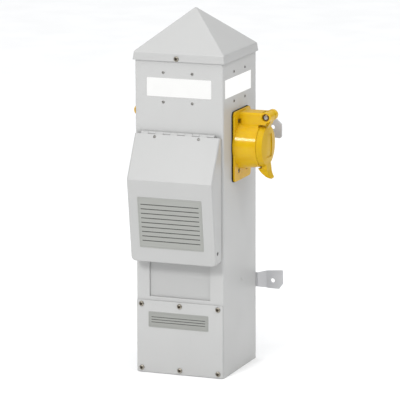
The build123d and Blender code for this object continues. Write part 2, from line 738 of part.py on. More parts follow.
def hood():
    """Folded hood: slope, front panel, side flanges, lower lip and lock holes."""
    lip_end = HOOD_LIP - POST_HALF - HOOD_FOOT_OUT
    behind_lip = slab((-HOOD_INNER_HALF, HOOD_INNER_HALF), (lip_end, -POST_HALF),
                      (HOOD_FOOT_Z - CUT, HOOD_FOOT_Z + HOOD_CORNER))
    lock = rod_x(LOCK_HOLE, (-HOOD_HALF - CUT, HOOD_HALF + CUT), y=LOCK_Y, z=LOCK_Z)
    drill = slope_turn() * WALLS["front"] * Cylinder(RIVET_HOLE, 6 * HOOD_SHEET)
    y, z = on_slope(HOOD_RIVET_DROP)
    return hood_outside() - hood_inside() - [behind_lip, lock] - [
        Pos(x, y, z) * drill for x in (-HOOD_RIVET_X, HOOD_RIVET_X)]


def hood_rivets():
    """Rivets through the hood and its hinge leaf."""
    y, z = on_slope(HOOD_RIVET_DROP)
    pin = slope_turn() * WALLS["front"] * rivet(HOOD_SHEET + LEAF)
    return group(Pos(x, y, z) * pin for x in (-HOOD_RIVET_X, HOOD_RIVET_X))


def hinge_leaf(first, width, plate_y, rivet_x, rivet_drop):
    """Leaf that hangs from the pivot at the origin, on every second knuckle, clear of the other leaf's."""
    leaf = slab((-HINGE_HALF, HINGE_HALF), plate_y, (-width, 0))
    for k in range(KNUCKLE_COUNT):
        low = -HINGE_HALF + k * KNUCKLE_LENGTH
        high = low + KNUCKLE_LENGTH
        if k % 2 == first:
            leaf += rod_x(KNUCKLE, (low + KNUCKLE_GAP / 2, high - KNUCKLE_GAP / 2))
        else:
            leaf -= slab((low - KNUCKLE_GAP / 2, high + KNUCKLE_GAP / 2), (-2 * KNUCKLE, 2 * KNUCKLE),
                         (-KNUCKLE - KNUCKLE_GAP, KNUCKLE))
    leaf -= [rod_y(RIVET_HOLE, (-2 * KNUCKLE, 2 * KNUCKLE), x=x, z=-rivet_drop) for x in (-rivet_x, rivet_x)]
    return leaf - rod_x(HINGE_PIN + RUN_GAP, (-HINGE_HALF - CUT, HINGE_HALF + CUT))


def hinge_leaf_post():
    """Leaf riveted to the post's front wall, above the opening."""
    wall = KNUCKLE + HINGE_SEAT
    leaf = hinge_leaf(1, POST_LEAF_WIDTH, (wall - LEAF, wall), LEAF_RIVET_X, LEAF_RIVET_DROP)
    return Pos(0, PIVOT_Y, PIVOT_Z) * leaf


def hinge_leaf_hood():
    """Leaf riveted under the hood's slope."""
    leaf = hinge_leaf(0, HOOD_LEAF_WIDTH, (-KNUCKLE, LEAF - KNUCKLE), HOOD_RIVET_X, HOOD_RIVET_DROP)
    return Pos(0, PIVOT_Y, PIVOT_Z) * slope_turn() * leaf


def hinge_pin():
    """Pin through every knuckle."""
    end = HINGE_HALF + HINGE_PIN_END
    return rod_x(HINGE_PIN, (-end, end), y=PIVOT_Y, z=PIVOT_Z)


def hinge_rivets():
    """Rivets of the post's leaf."""
    return group(on_wall("front", x, PIVOT_Z - LEAF_RIVET_DROP, rivet(LEAF + WALL), LEAF)
                 for x in (-LEAF_RIVET_X, LEAF_RIVET_X))


def lock_tabs():
    """Pair of tabs on the post beside the hood's lock holes."""
    outer = HOOD_INNER_HALF - 2 * BODY_GAP
    tip = LOCK_Y - LOCK_TAB_PAST
    tab = slab((outer - LOCK_TAB, outer), (tip, -POST_HALF), (LOCK_Z - LOCK_TAB_HALF, LOCK_Z + LOCK_TAB_HALF))
    corners = [e for e in tab.edges().filter_by(Axis.X) if e.center().Y < tip + CUT]
    hole = rod_x(LOCK_HOLE, (outer - 2 * LOCK_TAB, outer + CUT), LOCK_Y, LOCK_Z)
    tab = chamfer(corners, LOCK_TAB_CORNER) - hole
    return group([tab, mirror(tab, about=Plane.YZ)])


def breaker_places():
    """X of each breaker's centre."""
    pitch = BREAKER_WIDTH + BREAKER_SPACE
    return {"left": -pitch / 2, "right": pitch / 2}


def dead_front():
    """Recessed plate behind the front opening, cut out for the breakers' noses."""
    deep = (DEAD_FRONT_Y - CUT, DEAD_FRONT_Y + INNER_SHEET + CUT)
    plate = slab((-DEAD_FRONT_HALF, DEAD_FRONT_HALF), (DEAD_FRONT_Y, DEAD_FRONT_Y + INNER_SHEET),
                 (DEAD_FRONT_FLOOR, BAY_TOP + DEAD_FRONT_LAP))
    half = BREAKER_WIDTH + BREAKER_SPACE / 2 + BODY_GAP
    tall = NOSE_HEIGHT / 2 + BODY_GAP
    plate -= slab((-half, half), deep, (BREAKER_Z - tall, BREAKER_Z + tall))
    return plate - [rod_y(SMALL_SHANK + SCREW_GAP, deep, x, z) for x, z in dead_screw_places()]


def dead_front_screws():
    """Screws of the dead front into the chassis lips."""
    screw = WALLS["front"] * pan_screw(DEAD_SCREW_LENGTH, SMALL_HEAD, SMALL_RISE, SMALL_SHANK)
    return group(Pos(x, DEAD_FRONT_Y, z) * screw for x, z in dead_screw_places())


def chassis():
    """Folded channel behind the dead front: back, sides, and lips that the dead front screws to."""
    front = DEAD_FRONT_Y + INNER_SHEET
    lips = (front - CUT, front + INNER_SHEET + CUT)
    tall = (CHASSIS_FLOOR, CHASSIS_TOP)
    past = (tall[0] - CUT, tall[1] + CUT)
    hollow, gap = TRAY_HALF - INNER_SHEET, DEAD_SCREW_X - CHASSIS_LIP_MARGIN
    body = slab((-TRAY_HALF, TRAY_HALF), (front, CHASSIS_BACK_Y + INNER_SHEET), tall)
    body -= slab((-hollow, hollow), (front + INNER_SHEET, CHASSIS_BACK_Y), past)
    body -= slab((-gap, gap), lips, past)
    body -= [rod_y(SMALL_SHANK + RUN_GAP, lips, x, z) for x, z in dead_screw_places()]
    return body - rod_x(RIVET_HOLE, (-POST_HALF, POST_HALF), CHASSIS_RIVET_Y, CHASSIS_RIVET_Z)


def chassis_rivets():
    """Rivets through the side walls into the chassis."""
    return group(on_wall(side, CHASSIS_RIVET_Y, CHASSIS_RIVET_Z, rivet(WALL + SEAT_GAP + INNER_SHEET))
                 for side in ("right", "left"))


def breaker_rail():
    """Hat channel on the chassis that the breakers clip to."""
    back, front = CHASSIS_BACK_Y, BREAKER_BACK_Y
    half, sheet = RAIL_HEIGHT / 2, INNER_SHEET
    foot = half + RAIL_FOOT
    upper = [(back, foot), (back - sheet, foot), (back - sheet, half + sheet), (front, half + sheet)]
    inner = [(front + sheet, half), (back, half)]
    lower = [(y, -z) for y, z in reversed(upper)]
    points = upper + lower + [(y, -z) for y, z in reversed(inner)] + inner
    reach = BREAKER_WIDTH + RAIL_PAST
    return across_x([(y, BREAKER_Z + z) for y, z in points], (-reach, reach))


def breaker_case(x):
    """Breaker body with its stepped nose and toggle slot."""
    wide = (x - BREAKER_WIDTH / 2, x + BREAKER_WIDTH / 2)
    slot = (x - TOGGLE_POCKET, x + TOGGLE_POCKET)
    shoulder = DEAD_FRONT_Y + INNER_SHEET + BODY_GAP
    tall, nose = BREAKER_HEIGHT / 2, NOSE_HEIGHT / 2
    body = slab(wide, (shoulder, BREAKER_BACK_Y), (BREAKER_Z - tall, BREAKER_Z + tall))
    body += slab(wide, (NOSE_Y, shoulder), (BREAKER_Z - nose, BREAKER_Z + nose))
    body -= slab(slot, (NOSE_Y - CUT, TOGGLE_Y), (BREAKER_Z - TOGGLE_SLOT, BREAKER_Z + TOGGLE_SLOT))
    body -= rod_x(TOGGLE_HUB + BODY_GAP, slot, TOGGLE_Y, BREAKER_Z)
    axle = TOGGLE_POCKET + TOGGLE_AXLE_REACH
    return body - rod_x(TOGGLE_AXLE + RUN_GAP, (x - axle, x + axle), TOGGLE_Y, BREAKER_Z)


def breaker_toggle(x):
    """Tapered handle on a round hub with its axle, raised to ON."""
    half = TOGGLE_WIDTH / 2
    outline = [(0, -TOGGLE_ROOT), (0, TOGGLE_ROOT), (-TOGGLE_REACH, TOGGLE_TIP), (-TOGGLE_REACH, -TOGGLE_TIP)]
    lever = across_x(outline, (-half, half))
    lever = fillet(lever.edges().group_by(Axis.Y)[0].filter_by(Axis.X), TOGGLE_ROUND)
    axle = half + TOGGLE_AXLE_REACH
    handle = Rot(-TOGGLE_THROW / 2, 0, 0) * lever + rod_x(TOGGLE_HUB, (-half, half))
    return Pos(x, TOGGLE_Y, BREAKER_Z) * (handle + rod_x(TOGGLE_AXLE, (-axle, axle)))


def wire_bar():
    """Square brass bar along X with a wire hole and a clamp screw at each of its even places."""
    half, end = BAR_SIDE / 2, BAR_LENGTH / 2
    body = slab((-end, end), (-half, half), (-half, half))
    for k in range(BAR_HOLES):
        x = -end + (k + 0.5) * BAR_LENGTH / BAR_HOLES
        body -= rod_z(BAR_HOLE, (-half - CUT, half + CUT), x)
        body += rod_y(BAR_SCREW, (-half - BAR_SCREW_PROUD, -half), x)
    return body


def neutral_bar():
    """Neutral bar on the chassis, below the breakers."""
    return Pos(0, CHASSIS_BACK_Y - BAR_FOOT_DEPTH - BAR_SIDE / 2, BREAKER_Z - NEUTRAL_DROP) * wire_bar()


def neutral_feet():
    """Insulating feet between the neutral bar and the chassis."""
    z, x = BREAKER_Z - NEUTRAL_DROP, (BAR_LENGTH - BAR_FOOT_WIDTH) / 2
    deep = (CHASSIS_BACK_Y - BAR_FOOT_DEPTH, CHASSIS_BACK_Y)
    foot = slab((x - BAR_FOOT_WIDTH / 2, x + BAR_FOOT_WIDTH / 2), deep,
                (z - BAR_FOOT_HEIGHT / 2, z + BAR_FOOT_HEIGHT / 2))
    return group([foot, mirror(foot, about=Plane.YZ)])


def ground_bar():
    """Earth bar on the back wall of the wiring bay."""
    return Pos(0, INNER_HALF - BAR_SIDE / 2, BLOCK_Z - GROUND_DROP) * wire_bar()


def terminal_block():
    """Moulded base with barriers between three poles, on the back wall of the wiring bay."""
    half, tall = 1.5 * POLE + BARRIER / 2, (BLOCK_Z - BLOCK_HEIGHT / 2, BLOCK_Z + BLOCK_HEIGHT / 2)
    body = slab((-half, half), (INNER_HALF - BLOCK_DEPTH, INNER_HALF), tall)
    deep = (INNER_HALF - BLOCK_DEPTH - BARRIER_RISE, INNER_HALF)
    for k in range(4):
        x = (k - 1.5) * POLE
        body += slab((x - BARRIER / 2, x + BARRIER / 2), deep, tall)
    return body


def terminal_lug(x):
    """Box lug with its wire hole and slotted set screw."""
    back = INNER_HALF - BLOCK_DEPTH
    front = back - LUG_DEPTH
    head = front - LUG_SCREW_PROUD
    tall = (BLOCK_Z - LUG_HEIGHT / 2, BLOCK_Z + LUG_HEIGHT / 2)
    lug = slab((x - LUG_WIDTH / 2, x + LUG_WIDTH / 2), (front, back), tall)
    lug -= rod_z(LUG_HOLE, (BLOCK_Z - LUG_HEIGHT, BLOCK_Z + LUG_HEIGHT), x, back - LUG_DEPTH / 2)
    lug += rod_y(LUG_SCREW, (head, front), x, BLOCK_Z)
    return lug - slab((x - LUG_SCREW, x + LUG_SCREW), (head - CUT, head + DRIVE_DEPTH),
                      (BLOCK_Z - DRIVE_WIDTH / 2, BLOCK_Z + DRIVE_WIDTH / 2))


def terminal_lugs():
    """A lug on each pole of the block."""
    return group(terminal_lug(k * POLE) for k in (-1, 0, 1))


def bracket_plan(end):
    """Right half of the strap seen from above, from its outer face round to its inner face."""
    back, ear = POST_HALF, POST_HALF + JOG_OUT
    bend = STRAP * tan(atan2(JOG_OUT, JOG_RUN) / 2)
    outer = [(JOG_START - bend, back + STRAP), (JOG_END - bend, ear + STRAP), (end, ear + STRAP)]
    return outer + [(end, ear), (JOG_END, ear), (JOG_START, back)]


def bracket(end, chamfer, chamfer_rise, corner):
    """Strap bracket about its own height: joggled behind the post, with a chamfered ear at each end."""
    back = POST_HALF
    neck, ear, flare = NECK_HEIGHT / 2, EAR_HEIGHT / 2, JOG_END + EAR_FLARE
    strap = upright(mirrored(bracket_plan(end)), (-EAR_HEIGHT, EAR_HEIGHT))
    face = [(JOG_START, neck), (flare, ear - EAR_TILT), (end, ear), (end, chamfer_rise - ear),
            (end - chamfer, -ear), (flare, -ear), (JOG_START, -neck)]
    strap &= across_y(mirrored(face), (back - CUT, back + JOG_OUT + STRAP + CUT))
    corners = [e for e in strap.edges().filter_by(Axis.Y)
               if abs(abs(e.center().X) - end) < RUN_GAP and e.center().Z > ear - RUN_GAP]
    strap = fillet(corners, corner)
    deep = (back - CUT, back + JOG_OUT + STRAP + CUT)
    hole_x = EAR_END - EAR_HOLE_INSET
    strap -= [rod_y(EAR_HOLE, deep, x, -EAR_HOLE_SHIFT) for x in (-hole_x, hole_x)]
    return strap - [rod_y(BOLT_SHANK + SCREW_GAP, deep, x) for x in (-BOLT_X, BOLT_X)]


def lower_bracket():
    """Lower bracket, its chamfered corners down."""
    return Pos(0, 0, LOWER_BRACKET_Z) * bracket(EAR_END, EAR_CHAMFER, EAR_CHAMFER_RISE, EAR_ROUND)


def upper_bracket():
    """Upper bracket, turned over so that its chamfered corners are up."""
    strap = bracket(EAR_END - UPPER_EAR_TRIM, UPPER_EAR_CHAMFER, UPPER_EAR_CHAMFER_RISE, UPPER_EAR_ROUND)
    return Pos(0, 0, UPPER_BRACKET_Z) * mirror(strap, about=Plane.XY)


def bracket_bolts():
    """Hexagon head bolts that hold the brackets to the back wall."""
    bolt = hexagon(BOLT_HEAD, (0, BOLT_RISE)) + rod_z(BOLT_SHANK, (-STRAP - WALL - BOLT_NUT - BOLT_PAST, 0))
    return group(on_wall("back", x, z, bolt, STRAP) for x, z in bolt_places())


def bracket_nuts():
    """Nuts of the bracket bolts, inside the post."""
    span = (-WALL - BOLT_NUT, -WALL)
    nut = hexagon(BOLT_HEAD, span) - rod_z(BOLT_SHANK + RUN_GAP, (span[0] - CUT, span[1] + CUT))
    return group(on_wall("back", x, z, nut) for x, z in bolt_places())


def biarc(start, heading, end, final):
    """Two arcs, tangent to each other, from one point and direction to another."""
    chord = end - start
    both = heading + final
    spread = 4 - both.dot(both)
    lean = 2 * chord.dot(both)
    reach = (sqrt(lean ** 2 + 4 * spread * chord.dot(chord)) - lean) / (2 * spread)
    first, last = start + heading * reach, end - final * reach
    middle = (first + last) * 0.5
    return [TangentArc(start, middle, tangent=heading), TangentArc(middle, end, tangent=last - first)]


def coil_station(quarter):
    """Point and direction of the spring's coil after a number of quarter turns."""
    turn, lift = quarter * pi / 2, SPRING_PITCH / (2 * pi)
    point = Vector(SPRING_MEAN * cos(turn), SPRING_MEAN * sin(turn), lift * turn)
    return point, Vector(-SPRING_MEAN * sin(turn), SPRING_MEAN * cos(turn), lift).normalized()


def least_gap(wire):
    """Clear distance between neighbouring turns of the spring's wire, measured on points along it."""
    count = 400
    points = [wire.position_at(k / count) for k in range(count + 1)]
    half_turn = round(count * pi * SPRING_MEAN / wire.length)
    spans = [(a - b).length for k, a in enumerate(points) for b in points[k + half_turn:]]
    return min(spans) - 2 * SPRING_WIRE


class OutletUnit:
    """One receptacle with its flip-lid cover, made on the plane of the wall.

    X runs out from the wall, Z is up, and the outlet's centre is the origin.
    """

    def __init__(self, tube, rim, pin_out, hooked):
        """Set the stack from the tube, the lid's rim, the pin's place and whether the tongue hooks."""
        self.hooked = hooked
        self.has_tube = tube > CUT
        self.tube_end = FLANGE_FACE + tube
        self.tube_end_radius = TUBE_ROOT - TUBE_TAPER * TALL_TUBE
        self.lid_back = self.tube_end + BODY_GAP + SEAL
        self.lid_rim = self.lid_back + rim
        self.lid_front = self.lid_rim + LID_DOME
        self.pin_x = self.lid_front + pin_out
        self.slot_back = min(self.lid_back, self.pin_x - LID_KNUCKLE) - BODY_GAP
        self.root_drop = self.tube_end_radius + TUBE_TAPER * TONGUE_HOOK + BODY_GAP

    def gasket(self):
        """Rubber sheet under the flange, open round the receptacle."""
        lap = 2 * GASKET_LAP
        outline = RectangleRounded(FLANGE_HEIGHT + lap, FLANGE_WIDTH + lap, FLANGE_CORNER)
        deep = (-CUT, GASKET + CUT)
        sheet = Rot(0, 90, 0) * extrude(outline, GASKET) - rod_x(RECEPTACLE_FLANGE + BODY_GAP, deep)
        return sheet - [rod_x(SMALL_SHANK + SCREW_GAP, deep, y, z) for y, z in flange_screw_places()]

    def flange(self):
        """Flange on the gasket with its rounded rim."""
        plate = extrude(RectangleRounded(FLANGE_HEIGHT, FLANGE_WIDTH, FLANGE_CORNER), FLANGE)
        return Pos(GASKET, 0, 0) * Rot(0, 90, 0) * fillet(plate.edges().group_by(Axis.Z)[-1], FLANGE_EDGE)

    def tube_outside(self):
        """Tapered tube, solid from the flange out."""
        end, mouth = self.tube_end, self.tube_end_radius
        return turned_x([(GASKET, 0), (GASKET, TUBE_ROOT), (FLANGE_FACE, TUBE_ROOT), (end - TUBE_EDGE, mouth),
                         (end, mouth - TUBE_EDGE), (end, 0)])

    def tube_inside(self):
        """Throat that clamps the receptacle's flange, and the tapered bore in front of it."""
        throat = rod_x(RECEPTACLE + SEAT_GAP, (GASKET - CUT, FLANGE_FACE + CUT))
        if not self.has_tube:
            return throat
        mouth = self.tube_end_radius - TUBE_WALL
        past = self.tube_end + CUT
        return throat + turned_x([(FLANGE_FACE, 0), (FLANGE_FACE, TUBE_INSIDE), (past, mouth), (past, 0)])

    def web_blend(self):
        """Hollow blend from the web's side into the tube."""
        y, reach = EYE_OUTSIDE + WEB_BLEND, self.tube_end_radius + WEB_BLEND
        z = sqrt(reach ** 2 - y ** 2)
        turns = [pi + k / 2 * atan2(z, y) for k in range(3)]
        points = [(y + WEB_BLEND * cos(turn), z + WEB_BLEND * sin(turn)) for turn in turns]
        side = Polyline([points[2], (0, points[2][1]), (0, z), points[0]])
        section = make_face([ThreePointArc(*points), side])
        return Pos(GASKET, 0, 0) * extrude(Plane.YZ * section, self.tube_end - TUBE_EDGE - GASKET)

    def hinge_block(self):
        """Web above the tube with its two round eyes and the slot between them."""
        foot = LID_RADIUS + 2 * BODY_GAP + CUT
        wide = (-EYE_OUTSIDE, EYE_OUTSIDE)
        web = slab((GASKET, self.pin_x), wide, (foot, WEB_TOP))
        web = fillet(web.edges().filter_by(Axis.X).group_by(Axis.Z)[-1], WEB_SHOULDER)
        if self.has_tube:
            web += slab((GASKET, self.tube_end - TUBE_EDGE), wide, (TUBE_INSIDE / 2, foot + CUT))
            web += [self.web_blend(), mirror(self.web_blend(), about=Plane.XZ)]
        web += rod_y(EYE, wide, self.pin_x, PIN_UP)
        slot = (self.slot_back, self.pin_x + 2 * EYE)
        return web - slab(slot, (-EYE_INSIDE, EYE_INSIDE), (0, 2 * WEB_TOP))

    def cover(self):
        """Moulded housing: flange, tapered tube, hinge web and eyes."""
        body = self.flange() + self.hinge_block()
        if self.has_tube:
            body += self.tube_outside()
        body -= self.tube_inside()
        for y, z in flange_screw_places():
            body -= rod_x(FLANGE_BORE, (GASKET + FLANGE_BORE_FLOOR, FLANGE_FACE + TUBE_WALL), y, z)
            body -= rod_x(SMALL_SHANK + SCREW_GAP, (GASKET - CUT, FLANGE_FACE), y, z)
        body -= rod_y(PIN_RADIUS + RUN_GAP, (-EYE_OUTSIDE - CUT, EYE_OUTSIDE + CUT), self.pin_x, PIN_UP)
        recess = rod_y(EYE_RECESS, (EYE_OUTSIDE - EYE_RECESS_DEPTH, EYE_OUTSIDE + CUT), self.pin_x, PIN_UP)
        return body - [recess, mirror(recess, about=Plane.XZ)] - self.leg_hole()

    def lid_form(self, inset=0.0, lift=0.0):
        """Lid's solid: drafted rim and spherical dome, drawn in for its inside or lifted off its face."""
        back = self.lid_back - (CUT if inset else 0)
        rim, crown = self.lid_rim + lift - inset, self.lid_front + lift - inset
        face = LID_RADIUS - LID_DRAFT - inset
        sphere = (face ** 2 + LID_DOME ** 2) / (2 * LID_DOME)
        middle = (crown - sphere + sqrt(sphere ** 2 - face ** 2 / 4), face / 2)
        outline = [Polyline([(crown, 0), (back, 0), (back, LID_RADIUS - inset), (rim, face)]),
                   ThreePointArc((rim, face), middle, (crown, 0))]
        return revolve(make_face(outline), axis=Axis.X)

    def tongue_side(self):
        """Side outline of the lift tongue: convex belly, round tip, hollow neck."""
        out, face = self.lid_back, self.lid_front
        root = (out - (TONGUE_HOOK if self.hooked else 0), -self.root_drop)
        belly = (out + TONGUE_BELLY_OUT, -TONGUE_BELLY_DROP)
        tip = (face + TONGUE_TIP_OUT, -TONGUE_TIP_DROP)
        nose = (tip[0] + TONGUE_TIP_ROUND, tip[1] + TONGUE_TIP_ROUND)
        bend = TONGUE_TIP_ROUND * cos(pi / 4)
        neck = (face + TONGUE_NECK_OUT, -TONGUE_NECK_DROP)
        hollow = ((nose[0] + neck[0]) / 2 - TONGUE_NECK_HOLLOW, (nose[1] + neck[1]) / 2)
        top = TONGUE_LAP - LID_RADIUS
        inside = [neck, (self.lid_rim, top), (out, top), (out, -self.root_drop)]
        return make_face([ThreePointArc(root, belly, tip),
                          ThreePointArc(tip, (tip[0] + bend, nose[1] - bend), nose),
                          ThreePointArc(nose, hollow, neck),
                          Polyline(inside + ([root] if self.hooked else []))])

    def tongue(self):
        """Lift tongue below the lid, a curved beak that narrows to its tip."""
        beak = extrude(Plane.XZ * self.tongue_side(), amount=TONGUE_WIDTH / 2, both=True)
        root, end = TONGUE_WIDTH / 2, TONGUE_TIP_WIDTH / 2
        shoulder, brow = -TONGUE_NECK_DROP, TONGUE_TIP_ARCH - TONGUE_TIP_DROP
        sides = [(-end, brow), (-root, shoulder), (-root, 0), (root, 0), (root, shoulder), (end, brow)]
        plan = make_face([Polyline(sides), ThreePointArc((end, brow), (0, -TONGUE_TIP_DROP), (-end, brow))])
        return beak & extrude(Plane.YZ * plan, 2 * self.lid_front)

    def arm(self):
        """Lid's hinge arm, from the disc up to the knuckle round the pin."""
        back, front, wide = self.lid_back + RUN_GAP, self.lid_rim, (-LID_ARM_WIDTH / 2, LID_ARM_WIDTH / 2)
        foot, top = LID_RADIUS - LID_ARM_LAP, PIN_UP - LID_KNUCKLE / 2
        reach = LID_KNUCKLE * cos(pi / 6)
        plate = across_y([(back, foot), (front, foot), (self.pin_x + reach, top),
                          (max(self.pin_x - reach, back), top)], wide)
        return plate + rod_y(LID_KNUCKLE, wide, self.pin_x, PIN_UP)

    def lid(self):
        """Domed lid: recess in its face, hollow back, lip round the seal, hinge arm and lift tongue."""
        half_w, half_h = LID_RECESS_WIDTH / 2, LID_RECESS_HEIGHT / 2
        recess = slab((self.lid_rim, self.lid_front + CUT), (-half_w, half_w), (-half_h, half_h))
        recess -= self.lid_form(lift=-LID_RECESS_DEPTH)
        disc = self.lid_form()
        rim = disc.edges().filter_by(Plane.YZ).sort_by(Axis.X)[-1]
        lip = rod_x(LID_RADIUS, (self.lid_back - SEAL, self.lid_back))
        lip -= rod_x(LID_RADIUS - LID_LIP, (self.lid_back - SEAL - CUT, self.lid_back + CUT))
        body = fillet(rim, LID_EDGE) + [lip, self.arm(), self.tongue()]
        body -= [recess, self.lid_form(inset=LID_WALL)]
        slot, pocket = (-SPRING_SLOT / 2, SPRING_SLOT / 2), LID_KNUCKLE - CUT
        body -= rod_y(pocket, slot, self.pin_x, PIN_UP)
        body -= slab((self.lid_back - CUT, self.pin_x), slot, (PIN_UP - pocket, PIN_UP + 2 * pocket))
        return body - rod_y(PIN_RADIUS + RUN_GAP, (-LID_ARM_WIDTH, LID_ARM_WIDTH), self.pin_x, PIN_UP)

    def lid_seal(self):
        """Rubber ring on the lid's back, against the tube's end."""
        outer = LID_RADIUS - LID_LIP - SEAT_GAP
        ring = rod_x(outer, (self.lid_back - SEAL, self.lid_back))
        return ring - rod_x(outer - SEAL_WIDTH, (self.lid_back - SEAL - CUT, self.lid_back + CUT))

    def lid_pin(self):
        """Hinge pin with a domed head at each end, in the eyes' recesses."""
        reach = EYE_OUTSIDE - EYE_RECESS_DEPTH
        head = turned([(0, PIN_HEAD_RISE), (0.6 * PIN_HEAD, 0.8 * PIN_HEAD_RISE),
                       (PIN_HEAD, 0.3 * PIN_HEAD_RISE), (PIN_HEAD, 0), (0, 0)])
        head = Pos(self.pin_x, reach, PIN_UP) * WALLS["back"] * head
        return rod_y(PIN_RADIUS, (-reach, reach), self.pin_x, PIN_UP) + head + mirror(head, about=Plane.XZ)

    def spring_frame(self):
        """Frame of the coil: its axis is the pin's and its first turn starts under the pin."""
        half = SPRING_PITCH * SPRING_TURNS / 2
        return Plane(origin=(self.pin_x, half, PIN_UP), x_dir=(0, 0, -1), z_dir=(0, -1, 0))

    def leg_start(self):
        """End of the spring's straight leg in the web, in the coil's frame."""
        point, heading = coil_station(0)
        return point - heading * (self.pin_x - self.slot_back + SPRING_SEAT)

    def leg_hole(self):
        """Hole in the web for the spring's leg."""
        start, (point, heading) = self.leg_start(), coil_station(0)
        bore = extrude(Circle(SPRING_WIRE + RUN_GAP), (point - start).length)
        hole = Plane(origin=start, z_dir=heading) * bore
        return self.spring_frame() * hole

    def lid_spring(self):
        """Torsion spring round the pin, with its fixed leg, as one unbroken wire."""
        start, (point, heading) = self.leg_start(), coil_station(0)
        arcs = [Line(start, point)]
        for quarter in range(4 * SPRING_TURNS):
            arcs += biarc(*coil_station(quarter), *coil_station(quarter + 1))
        wire = Wire([arc.edge() for arc in arcs])
        print(f"least gap between the spring's turns {least_gap(wire):.2f} mm")
        section = Plane(origin=start, z_dir=heading) * Circle(SPRING_WIRE)
        return self.spring_frame() * sweep(section, path=wire)

    def arc_slot(self, number, arc, width, x):
        """Curved block of a given arc at one of the even places round the outlet's centre."""
        past = (x[0] - CUT, x[1] + CUT)
        ring = rod_x(SLOT_RADIUS + width / 2, x) - rod_x(SLOT_RADIUS - width / 2, past)
        middle = 90 + number * 360 / SLOT_COUNT
        rays = [radians(middle + side * arc / 2) for side in (-1, 0, 1)]
        reach = 2 * SLOT_RADIUS
        return ring & across_x([(0, 0)] + [(reach * cos(a), reach * sin(a)) for a in rays], past)

    def receptacle(self):
        """Round locking receptacle: body behind the wall, flange on it, face with curved slots."""
        body = rod_x(RECEPTACLE, (-RECEPTACLE_DEPTH, RECEPTACLE_TOP))
        body = fillet(body.edges().group_by(Axis.X)[-1], RECEPTACLE_EDGE)
        body += rod_x(RECEPTACLE_FLANGE, (0, GASKET - SEAT_GAP))
        deep = (RECEPTACLE_TOP - SLOT_DEPTH, RECEPTACLE_TOP + CUT)
        body -= [self.arc_slot(k, SLOT_ARC, SLOT_WIDTH, deep) for k in range(SLOT_COUNT)]
        return body - rod_x(GROUND_SLOT, deep)

    def contacts(self):
        """Brass contacts, one in each slot."""
        low = RECEPTACLE_TOP - SLOT_DEPTH
        return group(self.arc_slot(k, SLOT_ARC - 2 * CONTACT_EASE, CONTACT_WIDTH, (low, low + CONTACT_DEPTH))
                     for k in range(SLOT_COUNT))

    def cover_screws(self):
        """Small pan head screws in the flange's counterbores."""
        screw = Rot(0, 90, 0) * pan_screw(SMALL_LENGTH, SMALL_HEAD, SMALL_RISE, SMALL_SHANK)
        return group(Pos(GASKET + FLANGE_BORE_FLOOR, y, z) * screw for y, z in flange_screw_places())

    def nodes(self, side):
        """Every piece of the unit on its side of the post, by node name."""
        place = Pos(POST_HALF, 0, OUTLET_Z)
        if side == "left":
            place = Rot(0, 0, 180) * place
        pieces = [self.gasket, self.cover, self.lid, self.lid_seal, self.lid_pin, self.lid_spring,
                  self.receptacle, self.contacts, self.cover_screws]
        return {f"{side}_{piece.__name__}": place * piece() for piece in pieces}


def build():
    """Every node of the pedestal, by name."""
    single = [post_shell, base_plate, cap, cap_screws, lens_rivets, light_shelf, lamp_socket, lamp_bulb,
              access_cover, access_screws, access_nuts, hood, hood_rivets, hinge_leaf_post, hinge_leaf_hood,
              hinge_pin, hinge_rivets, lock_tabs, dead_front, dead_front_screws, chassis, chassis_rivets,
              breaker_rail, neutral_bar, neutral_feet, ground_bar, terminal_block, terminal_lugs,
              lower_bracket, upper_bracket, bracket_bolts, bracket_nuts]
    nodes = {piece.__name__: piece() for piece in single}
    nodes.update({f"{side}_lens": lens(side) for side in ("front", "right", "left")})
    for side, x in breaker_places().items():
        nodes[f"breaker_case_{side}"] = breaker_case(x)
        nodes[f"breaker_toggle_{side}"] = breaker_toggle(x)
    nodes.update(OutletUnit(TALL_TUBE, TALL_RIM, TALL_PIN_OUT, hooked=True).nodes("right"))
    nodes.update(OutletUnit(LOW_TUBE, LOW_RIM, LOW_PIN_OUT, hooked=False).nodes("left"))
    return nodes


os.makedirs("parts", exist_ok=True)
for name, shape in build().items():
    export_step(shape, f"parts/{name}.step")
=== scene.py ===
"""Dresses the power pedestal: painted sheet, moulded yellow covers, bare data plates and a soft studio.

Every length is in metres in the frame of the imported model: +Z up, the breaker hood towards -Y and the tall
receptacle cover towards +X.
"""
from __future__ import annotations

import logging
from dataclasses import dataclass, field
from enum import Enum
from math import cos, pi, radians, sin
from typing import Callable, ClassVar, Mapping, Sequence

import bmesh
import bpy
from mathutils import Matrix, Vector
from mathutils.bvhtree import BVHTree


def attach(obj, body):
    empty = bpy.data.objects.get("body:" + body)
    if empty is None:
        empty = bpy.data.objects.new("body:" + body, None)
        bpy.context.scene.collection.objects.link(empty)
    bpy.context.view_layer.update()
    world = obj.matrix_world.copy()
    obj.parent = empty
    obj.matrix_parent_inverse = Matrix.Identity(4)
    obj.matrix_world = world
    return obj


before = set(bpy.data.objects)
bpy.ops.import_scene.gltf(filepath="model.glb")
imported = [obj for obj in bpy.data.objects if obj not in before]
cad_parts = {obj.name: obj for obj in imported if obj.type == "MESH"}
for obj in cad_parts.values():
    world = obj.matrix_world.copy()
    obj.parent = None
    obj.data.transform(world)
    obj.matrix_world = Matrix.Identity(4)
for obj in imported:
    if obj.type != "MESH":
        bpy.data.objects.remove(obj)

LOG = logging.getLogger("pedestal")
MM = 0.001

# How far the roughness of a coloured surface swings below and above its own value.
GLOSS_UP, GLOSS_DOWN = 0.03, 0.05

RGB = tuple[float, float, float]
Pair = tuple[float, float]
Socket = bpy.types.NodeSocket
Sockets = Mapping[str, Socket]
Feed = float | Sequence[float] | Socket


